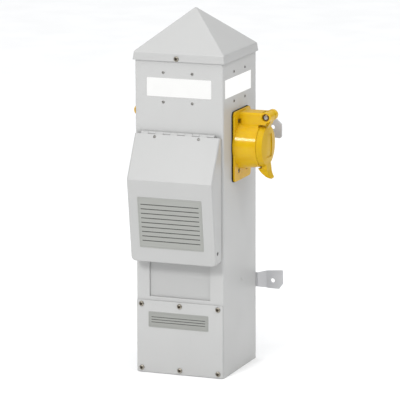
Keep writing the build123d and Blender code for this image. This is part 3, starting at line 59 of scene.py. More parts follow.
def shade(red: int, green: int, blue: int) -> RGB:
    """Turns a colour as a screen shows it, 0 to 255, into the linear values that a shader takes.

    Args:
        red: Red, 0 to 255.
        green: Green, 0 to 255.
        blue: Blue, 0 to 255.

    Returns:
        The three linear values, 0 to 1.
    """
    toe, slope, lift, power = 0.04045, 12.92, 0.055, 2.4
    parts = [value / 255 for value in (red, green, blue)]
    return tuple(p / slope if p <= toe else ((p + lift) / (1 + lift)) ** power for p in parts)


def opaque(colour: RGB) -> tuple[float, float, float, float]:
    """Adds full opacity to a colour."""
    return (*colour, 1.0)


def darker(colour: RGB, share: float) -> RGB:
    """Scales a colour down to the given share of itself."""
    return tuple(value * share for value in colour)


class Graph:
    """A node tree with short calls to add nodes and wire them."""

    def __init__(self, tree: bpy.types.NodeTree) -> None:
        """Keeps the tree that the calls add to.

        Args:
            tree: The node tree of a material or of a group.
        """
        self.tree = tree

    def feed(self, node: bpy.types.Node, feeds: Mapping[str | int, Feed]) -> None:
        """Sets or wires the inputs of a node.

        Args:
            node: The node.
            feeds: What each input gets, a socket to wire or a value to set.
        """
        for name, feed in feeds.items():
            if isinstance(feed, Socket):
                self.tree.links.new(feed, node.inputs[name])
            else:
                node.inputs[name].default_value = feed

    def add(self, kind: str, feeds: Mapping[str | int, Feed] | None = None,
            **settings: object) -> bpy.types.Node:
        """Adds a node.

        Args:
            kind: The node's type name.
            feeds: What each input gets.
            **settings: The node's own options.

        Returns:
            The new node.
        """
        node = self.tree.nodes.new(kind)
        for name, setting in settings.items():
            setattr(node, name, setting)
        self.feed(node, feeds or {})
        return node

    def place(self) -> Socket:
        """Gives the surface's own coordinates, in metres, which move with the piece."""
        return self.add("ShaderNodeTexCoord").outputs["Object"]

    def stretched(self, stretch: Sequence[float]) -> Socket:
        """Gives the surface's coordinates, multiplied axis by axis."""
        return self.add("ShaderNodeMapping", {"Vector": self.place(), "Scale": stretch}).outputs["Vector"]

    def facing(self) -> Socket:
        """Gives the direction that the surface faces in the piece's own frame."""
        return self.add("ShaderNodeTexCoord").outputs["Normal"]

    def noise(self, where: Socket, scale: Feed, detail: float = 3.0) -> Socket:
        """Gives soft noise between about 0.3 and 0.7."""
        feeds = {"Vector": where, "Scale": scale, "Detail": detail}
        return self.add("ShaderNodeTexNoise", feeds).outputs["Fac"]

    def maths(self, operation: str, first: Feed, second: Feed) -> Socket:
        """Gives one sum of two values."""
        return self.add("ShaderNodeMath", {0: first, 1: second}, operation=operation).outputs[0]

    def ramp(self, value: Feed, low: Feed, high: Feed) -> Socket:
        """Gives 0 up to the low value and 1 from the high one, with a smooth step between."""
        feeds = {"Value": value, "From Min": low, "From Max": high}
        return self.add("ShaderNodeMapRange", feeds, interpolation_type="SMOOTHSTEP").outputs["Result"]

    def span(self, value: Feed, low: Feed, high: Feed) -> Socket:
        """Gives the low value where the mask is 0 and the high one where it is 1."""
        feeds = {"Value": value, "To Min": low, "To Max": high}
        return self.add("ShaderNodeMapRange", feeds).outputs["Result"]

    def blend(self, mask: Feed, first: Feed, second: Feed, how: str = "MIX") -> Socket:
        """Mixes two colours.

        Args:
            mask: How much of the second colour, 0 to 1.
            first: The colour where the mask is 0.
            second: The colour where the mask is 1.
            how: The way the second is laid on the first.

        Returns:
            The mixed colour.
        """
        node = self.add("ShaderNodeMix", {0: mask, 6: first, 7: second}, data_type="RGBA", blend_type=how)
        return node.outputs[2]


class Effect(Enum):
    """Surface effects that several finishes share, each one shader group."""

    ORANGE_PEEL = "Orange peel"
    DUST = "Settled dust"
    SCUFFS = "Handling scuffs"
    SPANGLE = "Zinc spangle"
    BRUSHED = "Brushed grain"
    TUMBLED = "Tumbled plating"
    MOULD = "Mould texture"


@dataclass(frozen=True)
class GroupPlan:
    """The sockets of a shader group and the function that fills it.

    Args:
        takes: Inputs, by name, with their resting values.
        gives: Outputs, by name.
        fill: Wires the group's nodes and returns the output sockets in order.
    """

    takes: Mapping[str, float]
    gives: tuple[str, ...]
    fill: Callable[[Graph, Sockets], Sequence[Socket]]


def fill_orange_peel(graph: Graph, take: Sockets) -> Sequence[Socket]:
    """Fine bumps of sprayed powder paint, and a slow change of shade across a panel."""
    slow_scale, grit_scale, grit_height, slow_band, grit_band = 7.0, 3.1, 0.5, (0.3, 0.7), (0.66, 0.8)
    where = graph.place()
    peel = graph.noise(where, take["Scale"], 2.0)
    slow = graph.noise(where, slow_scale, 2.0)
    grit = graph.noise(where, graph.maths("MULTIPLY", take["Scale"], grit_scale), 1.0)
    bits = graph.maths("MULTIPLY", graph.ramp(grit, *grit_band), grit_height)
    return graph.maths("ADD", peel, bits), graph.ramp(slow, *slow_band)


def fill_dust(graph: Graph, take: Sockets) -> Sequence[Socket]:
    """Pale dust on what faces up, broken up by noise, and a little at the foot of the post."""
    flat_band, patch_band, foot_band, foot_share = (0.35, 1.0), (0.38, 0.68), (0.05, 0.0), 0.45
    up = graph.add("ShaderNodeSeparateXYZ", {0: graph.facing()}).outputs["Z"]
    where = graph.place()
    patch = graph.ramp(graph.noise(where, take["Scale"], 5.0), *patch_band)
    top = graph.maths("MULTIPLY", graph.ramp(up, *flat_band), patch)
    height = graph.add("ShaderNodeSeparateXYZ", {0: where}).outputs["Z"]
    low = graph.maths("MULTIPLY", patch, foot_share)
    foot = graph.maths("MULTIPLY", graph.ramp(height, *foot_band), low)
    return (graph.maths("MULTIPLY", graph.maths("MAXIMUM", top, foot), take["Amount"]),)


def fill_scuffs(graph: Graph, take: Sockets) -> Sequence[Socket]:
    """Short rubbed marks in two directions, gathered in a few places."""
    short, mark_band, place_scale, place_band = 9.0, (0.68, 0.74), 16.0, (0.52, 0.66)
    marks = [graph.ramp(graph.noise(graph.stretched(way), take["Scale"], 2.0), *mark_band)
             for way in ((short, short, 1.0), (1.0, short, short))]
    gathered = graph.ramp(graph.noise(graph.place(), place_scale, 2.0), *place_band)
    both = graph.maths("MAXIMUM", marks[0], marks[1])
    return (graph.maths("MULTIPLY", graph.maths("MULTIPLY", both, gathered), take["Amount"]),)


def fill_spangle(graph: Graph, take: Sockets) -> Sequence[Socket]:
    """Crystals of a hot-dip zinc coat, each with its own shade, and the fine bloom over them."""
    bend_scale, bend, bloom_scale, strength = 90.0, 0.012, 2.3, 0.6
    bent = graph.add("ShaderNodeTexNoise", {"Vector": graph.place(), "Scale": bend_scale}).outputs["Color"]
    where = graph.add("ShaderNodeMix", {0: bend, 4: graph.place(), 5: bent}, data_type="VECTOR").outputs[1]
    cells = graph.add("ShaderNodeTexVoronoi", {"Vector": where, "Scale": take["Scale"]})
    crystal = graph.add("ShaderNodeSeparateColor", {0: cells.outputs["Color"]}).outputs[0]
    bloom = graph.noise(graph.place(), graph.maths("MULTIPLY", take["Scale"], bloom_scale), 4.0)
    return graph.maths("MULTIPLY", graph.maths("ADD", crystal, bloom), strength), bloom


def fill_brushed(graph: Graph, take: Sockets) -> Sequence[Socket]:
    """Long fine lines along X, as a belt leaves them."""
    fine_way, wide_way, wide_scale = (0.03, 1.0, 1.0), (0.08, 1.0, 1.0), 0.2
    fine = graph.noise(graph.stretched(fine_way), take["Scale"], 2.0)
    wide = graph.noise(graph.stretched(wide_way), graph.maths("MULTIPLY", take["Scale"], wide_scale), 2.0)
    return fine, graph.maths("MULTIPLY", graph.maths("ADD", fine, wide), 0.5)


def fill_tumbled(graph: Graph, take: Sockets) -> Sequence[Socket]:
    """Small dents of plated parts that were tumbled together, and clouds in the plating."""
    cloud_scale, cloud_band = 0.35, (0.35, 0.7)
    where = graph.place()
    feeds = {"Vector": where, "Scale": take["Scale"]}
    dents = graph.add("ShaderNodeTexVoronoi", feeds, feature="SMOOTH_F1")
    cloud = graph.noise(where, graph.maths("MULTIPLY", take["Scale"], cloud_scale), 4.0)
    return dents.outputs["Distance"], graph.ramp(cloud, *cloud_band)


def fill_mould(graph: Graph, take: Sockets) -> Sequence[Socket]:
    """Fine spark texture of a moulding tool, and the slow clouding of coloured resin."""
    flow_scale, swirl, flow_band = 26.0, 1.6, (0.3, 0.72)
    where = graph.place()
    spark = graph.noise(where, take["Scale"], 2.0)
    feeds = {"Vector": where, "Scale": flow_scale, "Detail": 3.0, "Distortion": swirl}
    flow = graph.add("ShaderNodeTexNoise", feeds)
    return spark, graph.ramp(flow.outputs["Fac"], *flow_band)


PLANS: dict[Effect, GroupPlan] = {
    Effect.ORANGE_PEEL: GroupPlan({"Scale": 900.0}, ("Height", "Shade"), fill_orange_peel),
    Effect.DUST: GroupPlan({"Scale": 60.0, "Amount": 0.3}, ("Mask",), fill_dust),
    Effect.SCUFFS: GroupPlan({"Scale": 40.0, "Amount": 0.5}, ("Mask",), fill_scuffs),
    Effect.SPANGLE: GroupPlan({"Scale": 180.0}, ("Shade", "Height"), fill_spangle),
    Effect.BRUSHED: GroupPlan({"Scale": 2500.0}, ("Height", "Shade"), fill_brushed),
    Effect.TUMBLED: GroupPlan({"Scale": 900.0}, ("Height", "Shade"), fill_tumbled),
    Effect.MOULD: GroupPlan({"Scale": 1600.0}, ("Height", "Shade"), fill_mould),
}


class Effects:
    """Builds the group of each effect once and places it wherever a finish asks for it."""

    made: ClassVar[dict[Effect, bpy.types.NodeTree]] = {}

    @classmethod
    def tree(cls, effect: Effect) -> bpy.types.NodeTree:
        """Gives the group of an effect.

        Args:
            effect: Which effect.

        Returns:
            The group, built on the first call and the same one after that.
        """
        if effect not in cls.made:
            plan = PLANS[effect]
            tree = bpy.data.node_groups.new(effect.value, "ShaderNodeTree")
            for name, rest in plan.takes.items():
                socket = tree.interface.new_socket(name, in_out="INPUT", socket_type="NodeSocketFloat")
                socket.default_value = rest
            for name in plan.gives:
                tree.interface.new_socket(name, in_out="OUTPUT", socket_type="NodeSocketFloat")
            graph = Graph(tree)
            inlet = graph.add("NodeGroupInput")
            outlets = plan.fill(graph, {name: inlet.outputs[name] for name in plan.takes})
            graph.add("NodeGroupOutput", dict(zip(plan.gives, outlets)))
            cls.made[effect] = tree
        return cls.made[effect]

    @classmethod
    def place(cls, graph: Graph, effect: Effect, **values: float) -> Sockets:
        """Places an effect in a material.

        Args:
            graph: The material's graph.
            effect: Which effect.
            **values: The group's inputs for this material.

        Returns:
            The group's outputs by name.
        """
        node = graph.add("ShaderNodeGroup", node_tree=cls.tree(effect))
        for name, value in values.items():
            node.inputs[name].default_value = value
        return {socket.name: socket for socket in node.outputs}


@dataclass(frozen=True)
class Finish:
    """A finish that becomes one material, shared by every piece that takes it.

    Args:
        name: The material's name.
        colour: The surface's own colour, linear.
        roughness: How matt the surface is, 0 to 1.
    """

    name: str
    colour: RGB
    roughness: float

    # How much of the relief shows, and the materials made so far.
    RELIEF: ClassVar[float] = 1.0
    built: ClassVar[dict[str, bpy.types.Material]] = {}

    def material(self) -> bpy.types.Material:
        """Gives the finish's material, made on the first call."""
        if self.name not in Finish.built:
            material = bpy.data.materials.new(self.name)
            material.use_nodes = True
            material.node_tree.nodes.clear()
            graph = Graph(material.node_tree)
            shader = graph.add("ShaderNodeBsdfPrincipled")
            graph.add("ShaderNodeOutputMaterial", {"Surface": shader.outputs[0]})
            self.wire(graph, shader)
            material.diffuse_color = opaque(self.colour)
            Finish.built[self.name] = material
        return Finish.built[self.name]

    def wire(self, graph: Graph, shader: bpy.types.Node) -> None:
        """Wires the finish's effects into the shader."""
        raise NotImplementedError

    def bump(self, graph: Graph, height: Socket, depth: float) -> Socket:
        """Turns a height into a normal.

        Args:
            graph: The material's graph.
            height: The height, 0 to 1.
            depth: How far 1 stands above 0, in metres.

        Returns:
            The normal.
        """
        feeds = {"Height": height, "Distance": depth, "Strength": self.RELIEF}
        return graph.add("ShaderNodeBump", feeds).outputs["Normal"]


@dataclass(frozen=True)
class Paint(Finish):
    """Powder paint on sheet metal.

    Args:
        peel: Bumps of the orange peel per metre.
        depth: Height of the bumps, in metres.
        dust: How much dust lies on what faces up.
        scuffs: How strongly rubbed marks show.
    """

    peel: float = 700.0
    depth: float = 0.06 * MM
    dust: float = 0.25
    scuffs: float = 0.35

    # The relief, and how dust and wear sit on this kind of surface.
    RELIEF: ClassVar[float] = 0.5
    DUST_SCALE: ClassVar[float] = 45.0
    SCUFF_SCALE: ClassVar[float] = 38.0
    SHADED: ClassVar[float] = 0.965
    RUBBED: ClassVar[float] = 0.8
    DULLED: ClassVar[float] = 0.3
    DUSTY: ClassVar[RGB] = shade(182, 180, 174)
    SKIN: ClassVar[dict[str, float]] = {"Coat Weight": 0.12, "Coat Roughness": 0.18, "IOR": 1.5}

    def wire(self, graph: Graph, shader: bpy.types.Node) -> None:
        """Lays a slow change of shade, dust and scuffs over the paint, and the orange peel under it."""
        skin = Effects.place(graph, Effect.ORANGE_PEEL, Scale=self.peel)
        dust = Effects.place(graph, Effect.DUST, Scale=self.DUST_SCALE, Amount=self.dust)["Mask"]
        rubbed = Effects.place(graph, Effect.SCUFFS, Scale=self.SCUFF_SCALE, Amount=self.scuffs)["Mask"]
        base = graph.blend(skin["Shade"], opaque(self.colour), opaque(darker(self.colour, self.SHADED)))
        marked = graph.blend(rubbed, base, opaque(darker(self.colour, self.RUBBED)))
        gloss = graph.span(skin["Shade"], self.roughness - GLOSS_UP, self.roughness + GLOSS_DOWN)
        worn = graph.maths("MULTIPLY", graph.maths("ADD", dust, rubbed), self.DULLED)
        graph.feed(shader, {"Base Color": graph.blend(dust, marked, opaque(self.DUSTY)),
                            "Roughness": graph.maths("ADD", gloss, worn),
                            "Normal": self.bump(graph, skin["Height"], self.depth), **self.SKIN})


@dataclass(frozen=True)
class Metal(Finish):
    """Bare or plated metal.

    Args:
        grain: The effect that gives the surface its pattern.
        scale: The pattern's scale per metre.
        depth: Height of its relief, in metres.
        tarnish: Colour of the darker places of the pattern.
        spread: How far the roughness swings with the pattern.
    """

    grain: Effect = Effect.TUMBLED
    scale: float = 900.0
    depth: float = 0.03 * MM
    tarnish: RGB = (0.2, 0.2, 0.2)
    spread: float = 0.12

    # The relief, and how dust and wear sit on this kind of surface.
    RELIEF: ClassVar[float] = 0.6
    DUST_SCALE: ClassVar[float] = 80.0
    DUST_AMOUNT: ClassVar[float] = 0.2
    DULLED: ClassVar[float] = 0.4
    DUSTY: ClassVar[RGB] = shade(176, 170, 160)

    def base(self, graph: Graph, grain: Sockets) -> Socket:
        """Gives the metal's colour before any dust."""
        return graph.blend(grain["Shade"], opaque(self.tarnish), opaque(self.colour))

    def wire(self, graph: Graph, shader: bpy.types.Node) -> None:
        """Lets the grain carry the colour, the gloss and the relief."""
        grain = Effects.place(graph, self.grain, Scale=self.scale)
        dust = Effects.place(graph, Effect.DUST, Scale=self.DUST_SCALE, Amount=self.DUST_AMOUNT)["Mask"]
        dusty = graph.blend(dust, self.base(graph, grain), opaque(self.DUSTY))
        gloss = graph.span(grain["Shade"], self.roughness + self.spread, self.roughness - self.spread)
        dulled = graph.maths("ADD", gloss, graph.maths("MULTIPLY", dust, self.DULLED))
        graph.feed(shader, {"Base Color": dusty, "Metallic": 1.0, "Roughness": dulled,
                            "Normal": self.bump(graph, grain["Height"], self.depth)})


@dataclass(frozen=True)
class ScrewSteel(Metal):
    """Plated screw whose head carries a painted dark reflection in the middle and stays bright towards its
    edge.

    Args:
        painted_dark_reflection: Colour of the painted dark reflection in the middle of each head.
    """

    painted_dark_reflection: RGB = (0.05, 0.05, 0.05)

    # From which straightness the painted dark reflection starts and where it is full.
    MIDDLE: ClassVar[Pair] = (0.8, 0.97)

    def base(self, graph: Graph, grain: Sockets) -> Socket:
        """Darkens what faces straight along an axis with a painted dark reflection, as on the middle of each
        head.
        """
        facing = graph.add("ShaderNodeVectorMath", {0: graph.facing()}, operation="ABSOLUTE")
        parts = graph.add("ShaderNodeSeparateXYZ", {0: facing.outputs[0]}).outputs
        straight = graph.maths("MAXIMUM", graph.maths("MAXIMUM", parts[0], parts[1]), parts[2])
        # The dark middle is painted reflection, laid by which way the surface faces.
        middle = graph.ramp(straight, *self.MIDDLE)
        return graph.blend(middle, super().base(graph, grain), opaque(self.painted_dark_reflection))


@dataclass(frozen=True)
class PinSteel(Metal):
    """Hinge pin whose head has a painted shade ring, standing in for the shadow in the recess round it,
    about a middle in the metal's own colour.

    Args:
        axis: Where the pin's axis runs, X and Z, in metres.
        worn: Radius of the middle left in the metal's own colour, in metres.
        painted_shade_ring: Colour of the painted shade ring.
    """

    axis: Pair = (0.0, 0.0)
    worn: float = 3.1 * MM
    painted_shade_ring: RGB = (0.1, 0.1, 0.1)

    # Where the painted shade ring starts and where it is full, from the middle's radius.
    EDGE: ClassVar[Pair] = (-0.5 * MM, 0.7 * MM)

    def base(self, graph: Graph, grain: Sockets) -> Socket:
        """Lays the painted shade ring over the metal's own colour, away from the pin's axis."""
        where = graph.add("ShaderNodeSeparateXYZ", {0: graph.place()}).outputs
        offsets = [graph.maths("SUBTRACT", where[name], value) for name, value in zip("XZ", self.axis)]
        squares = [graph.maths("MULTIPLY", offset, offset) for offset in offsets]
        out = graph.maths("POWER", graph.maths("ADD", *squares), 0.5)
        painted_shade_mask = graph.ramp(out, *(self.worn + step for step in self.EDGE))
        return graph.blend(painted_shade_mask, super().base(graph, grain), opaque(self.painted_shade_ring))


@dataclass(frozen=True)
class Moulding(Finish):
    """Moulded plastic, hard or rubbery.

    Args:
        scale: Sparks of the tool's texture per metre.
        depth: Their height, in metres.
        deep: Colour of the resin where it clouds.
        dust: How much dust lies on what faces up.
        soft: How much light wanders under the skin.
        coat: Weight of the clear skin left by a polished tool.
        shine: Strength of the reflection under that skin.
    """

    scale: float = 1500.0
    depth: float = 0.03 * MM
    deep: RGB = (0.1, 0.1, 0.1)
    dust: float = 0.15
    soft: float = 0.0
    coat: float = 0.0
    shine: float = 0.5

    # The relief, and how dust and wear sit on this kind of surface.
    RELIEF: ClassVar[float] = 0.4
    DUST_SCALE: ClassVar[float] = 70.0
    SCUFF_SCALE: ClassVar[float] = 60.0
    SCUFF_AMOUNT: ClassVar[float] = 0.4
    SCUFF_TINT: ClassVar[float] = 0.35
    RUBBED: ClassVar[float] = 0.72
    DULLED: ClassVar[float] = 0.25
    DUSTY: ClassVar[RGB] = shade(190, 180, 160)
    SKIN: ClassVar[dict[str, float]] = {"Coat Roughness": 0.14, "Subsurface Scale": 0.002}

    def wire(self, graph: Graph, shader: bpy.types.Node) -> None:
        """Clouds the resin, textures the skin and dulls it where dust or hands have been."""
        skin = Effects.place(graph, Effect.MOULD, Scale=self.scale)
        dust = Effects.place(graph, Effect.DUST, Scale=self.DUST_SCALE, Amount=self.dust)["Mask"]
        scuffs = Effects.place(graph, Effect.SCUFFS, Scale=self.SCUFF_SCALE, Amount=self.SCUFF_AMOUNT)
        base = graph.blend(skin["Shade"], opaque(self.colour), opaque(self.deep))
        rubbed = scuffs["Mask"]
        tint = graph.maths("MULTIPLY", rubbed, self.SCUFF_TINT)
        marked = graph.blend(tint, base, opaque(darker(self.colour, self.RUBBED)))
        gloss = graph.span(skin["Shade"], self.roughness - GLOSS_UP, self.roughness + GLOSS_DOWN)
        worn = graph.maths("MULTIPLY", graph.maths("ADD", dust, rubbed), self.DULLED)
        graph.feed(shader, {"Base Color": graph.blend(dust, marked, opaque(self.DUSTY)),
                            "Roughness": graph.maths("ADD", gloss, worn),
                            "Normal": self.bump(graph, skin["Height"], self.depth),
                            "Coat Weight": self.coat, "Specular IOR Level": self.shine,
                            "Subsurface Weight": self.soft, **self.SKIN})


@dataclass(frozen=True)
class LitPanel(Finish):
    """Milky acrylic or glass that gives off light: a lamp's own bulb, or a window whose glow is painted
    light standing in for the lamp behind it.

    Args:
        glow: Light that the panel gives off, where 1 is paper white.
        light: Colour of that light.
        cloud: Colour of the acrylic where it clouds.
    """

    glow: float = 0.9
    light: RGB = (1.0, 1.0, 0.99)
    cloud: RGB = (0.42, 0.42, 0.41)

    # The relief and the gloss of the moulded face.
    RELIEF: ClassVar[float] = 0.3
    TEXTURE_SCALE: ClassVar[float] = 700.0
    TEXTURE_DEPTH: ClassVar[float] = 0.02 * MM
    GLOSS: ClassVar[Pair] = (0.3, 0.38)

    def wire(self, graph: Graph, shader: bpy.types.Node) -> None:
        """Lets faint clouds show in the acrylic, and fine mould texture break the gloss."""
        skin = Effects.place(graph, Effect.MOULD, Scale=self.TEXTURE_SCALE)
        milk = graph.blend(skin["Shade"], opaque(self.colour), opaque(self.cloud))
        graph.feed(shader, {"Base Color": milk, "Roughness": graph.span(skin["Shade"], *self.GLOSS),
                            "Normal": self.bump(graph, skin["Height"], self.TEXTURE_DEPTH),
                            "Emission Color": opaque(self.light), "Emission Strength": self.glow})


WHITE = shade(178, 178, 177)


def lid_pin(name: str, node: str) -> PinSteel:
    """Gives the finish of a lid's pin, round the axis that its node is turned about.

    Args:
        name: The material's name.
        node: The CAD node of the pin.

    Returns:
        The finish.
    """
    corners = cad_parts[node].bound_box
    across, up = ((corners[0][k] + corners[6][k]) / 2 for k in (0, 2))
    # The brown ring round each pin head is painted shade of the recess that the head sits in.
    return PinSteel(name, shade(176, 174, 170), 0.34, scale=2600.0, tarnish=shade(140, 134, 126),
                    axis=(across, up), painted_shade_ring=shade(104, 80, 48))


class Coats:
    """Every finish of the pedestal, named for the surface that takes it."""

    POST = Paint("Post powder paint", WHITE, 0.42, peel=620.0, dust=0.2, scuffs=0.25)
    # The cap's and the hood's paint is the post's white made darker as painted shade, offsetting the extra
    # light on their up-facing slopes; the dead front, hinge leaves and lock tabs take the hood's.
    CAP = Paint("Cap powder paint", shade(173, 173, 172), 0.38, peel=560.0, dust=0.08, scuffs=0.1)
    HOOD = Paint("Hood powder paint", shade(171, 171, 170), 0.36, peel=560.0, dust=0.08, scuffs=0.12)
    # The window lenses' glow is painted light standing in for the lamp shining through them, over a dark
    # base.
    LENS = LitPanel("Lit window acrylic", shade(98, 98, 97), 0.33, glow=0.77, cloud=shade(92, 92, 91))
    BRACKET = Paint("Bracket powder paint", shade(188, 188, 190), 0.5, peel=760.0, dust=0.1, scuffs=0.15)
    GALVANISED = Metal("Galvanised sheet", shade(196, 199, 200), 0.42, grain=Effect.SPANGLE, scale=160.0,
                       tarnish=shade(140, 144, 147), depth=0.01 * MM)
    # The screws' heads carry a painted dark reflection in their middles.
    SCREW = ScrewSteel("Screw zinc plate", shade(180, 175, 164), 0.3, scale=1500.0,
                       tarnish=shade(140, 133, 120), painted_dark_reflection=shade(72, 66, 58))
    RIVET = Metal("Rivet zinc plate", shade(156, 155, 152), 0.46, scale=1500.0,
                  tarnish=shade(120, 118, 114))
    HINGE = Metal("Hinge stainless steel", shade(206, 206, 204), 0.34, grain=Effect.BRUSHED, scale=2600.0,
                  tarnish=shade(168, 168, 166), spread=0.06)
    RIGHT_PIN = lid_pin("Right pin steel", "right_lid_pin")
    LEFT_PIN = lid_pin("Left pin steel", "left_lid_pin")
    COVER = Moulding("Cover yellow thermoplastic", shade(206, 166, 16), 0.3, deep=shade(201, 158, 14),
                     depth=0.01 * MM, dust=0.03, soft=0.04, coat=0.4, shine=0.02)
    # The lid's yellow is the cover's made darker as painted shade, as the lid faces sideways and catches
    # less light.
    LID = Moulding("Lid yellow thermoplastic", shade(199, 161, 22), 0.36, deep=shade(194, 155, 18),
                   depth=0.02 * MM, dust=0.05, soft=0.04, coat=0.16, shine=0.05)
    GASKET = Moulding("Gasket rubber", shade(30, 26, 18), 0.8, scale=1100.0, depth=0.06 * MM,
                      deep=shade(22, 19, 13), dust=0.1, shine=0.2)
    RECEPTACLE = Moulding("Receptacle black nylon", shade(34, 34, 36), 0.4, deep=shade(24, 24, 25))
    BREAKER = Moulding("Breaker black thermoset", shade(40, 40, 42), 0.5, deep=shade(30, 30, 31),
                       depth=0.04 * MM)
    BRASS = Metal("Brass", shade(206, 170, 96), 0.3, scale=1100.0, tarnish=shade(158, 122, 62))
    LUG = Metal("Lug aluminium", shade(206, 207, 208), 0.36, scale=700.0, tarnish=shade(160, 162, 164))
    SOCKET = Moulding("Lamp socket porcelain", shade(236, 232, 222), 0.2, deep=shade(226, 220, 206),
                      coat=0.6)
    LAMP = LitPanel("Lamp opal glass", shade(238, 236, 230), 0.2, glow=2.2, light=shade(255, 248, 232),
                    cloud=shade(230, 228, 220))
    PLATE = Metal("Data plate foil", shade(161, 162, 158), 0.4, grain=Effect.BRUSHED, scale=1800.0,
                  tarnish=shade(150, 151, 147), depth=0.01 * MM, spread=0.05)
    RULE = Moulding("Data plate rule", shade(66, 66, 64), 0.6, deep=shade(56, 56, 54))
    FLOOR = Paint("Studio floor", shade(251, 251, 251), 0.8, peel=300.0, depth=0.02 * MM, dust=0.0,
                  scuffs=0.0)


def mesh_piece(name: str, shape: bmesh.types.BMesh, finishes: Sequence[Finish],
               body: str) -> bpy.types.Object:
    """Turns a finished bmesh into a piece of the pedestal.

    Args:
        name: The piece's name.
        shape: Its mesh in the row frame, freed here.
        finishes: The finish of each material index.
        body: The body that the piece moves with.

    Returns:
        The new object.
    """
    bmesh.ops.recalc_face_normals(shape, faces=shape.faces[:])
    mesh = bpy.data.meshes.new(name)
    shape.to_mesh(mesh)
    shape.free()
    for finish in finishes:
        mesh.materials.append(finish.material())
    piece = bpy.data.objects.new(name, mesh)
    bpy.context.scene.collection.objects.link(piece)
    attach(piece, body)
    return piece


@dataclass
class SubAssembly:
    """Nodes that belong together and the finish that each of them takes.

    Args:
        title: What the log calls it.
        coats: The finish of each CAD node.
    """

    title: str = ""
    coats: Mapping[str, Finish] = field(default_factory=dict)

    def dress(self) -> int:
        """Gives every node of the sub-assembly its finish.

        Returns:
            How many nodes were dressed.
        """
        for name, finish in self.coats.items():
            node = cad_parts[name]
            node.data.materials.clear()
            node.data.materials.append(finish.material())
        return len(self.coats)

    def build(self) -> list[bpy.types.Object]:
        """Builds the pieces that the sub-assembly adds to its nodes."""
        return []


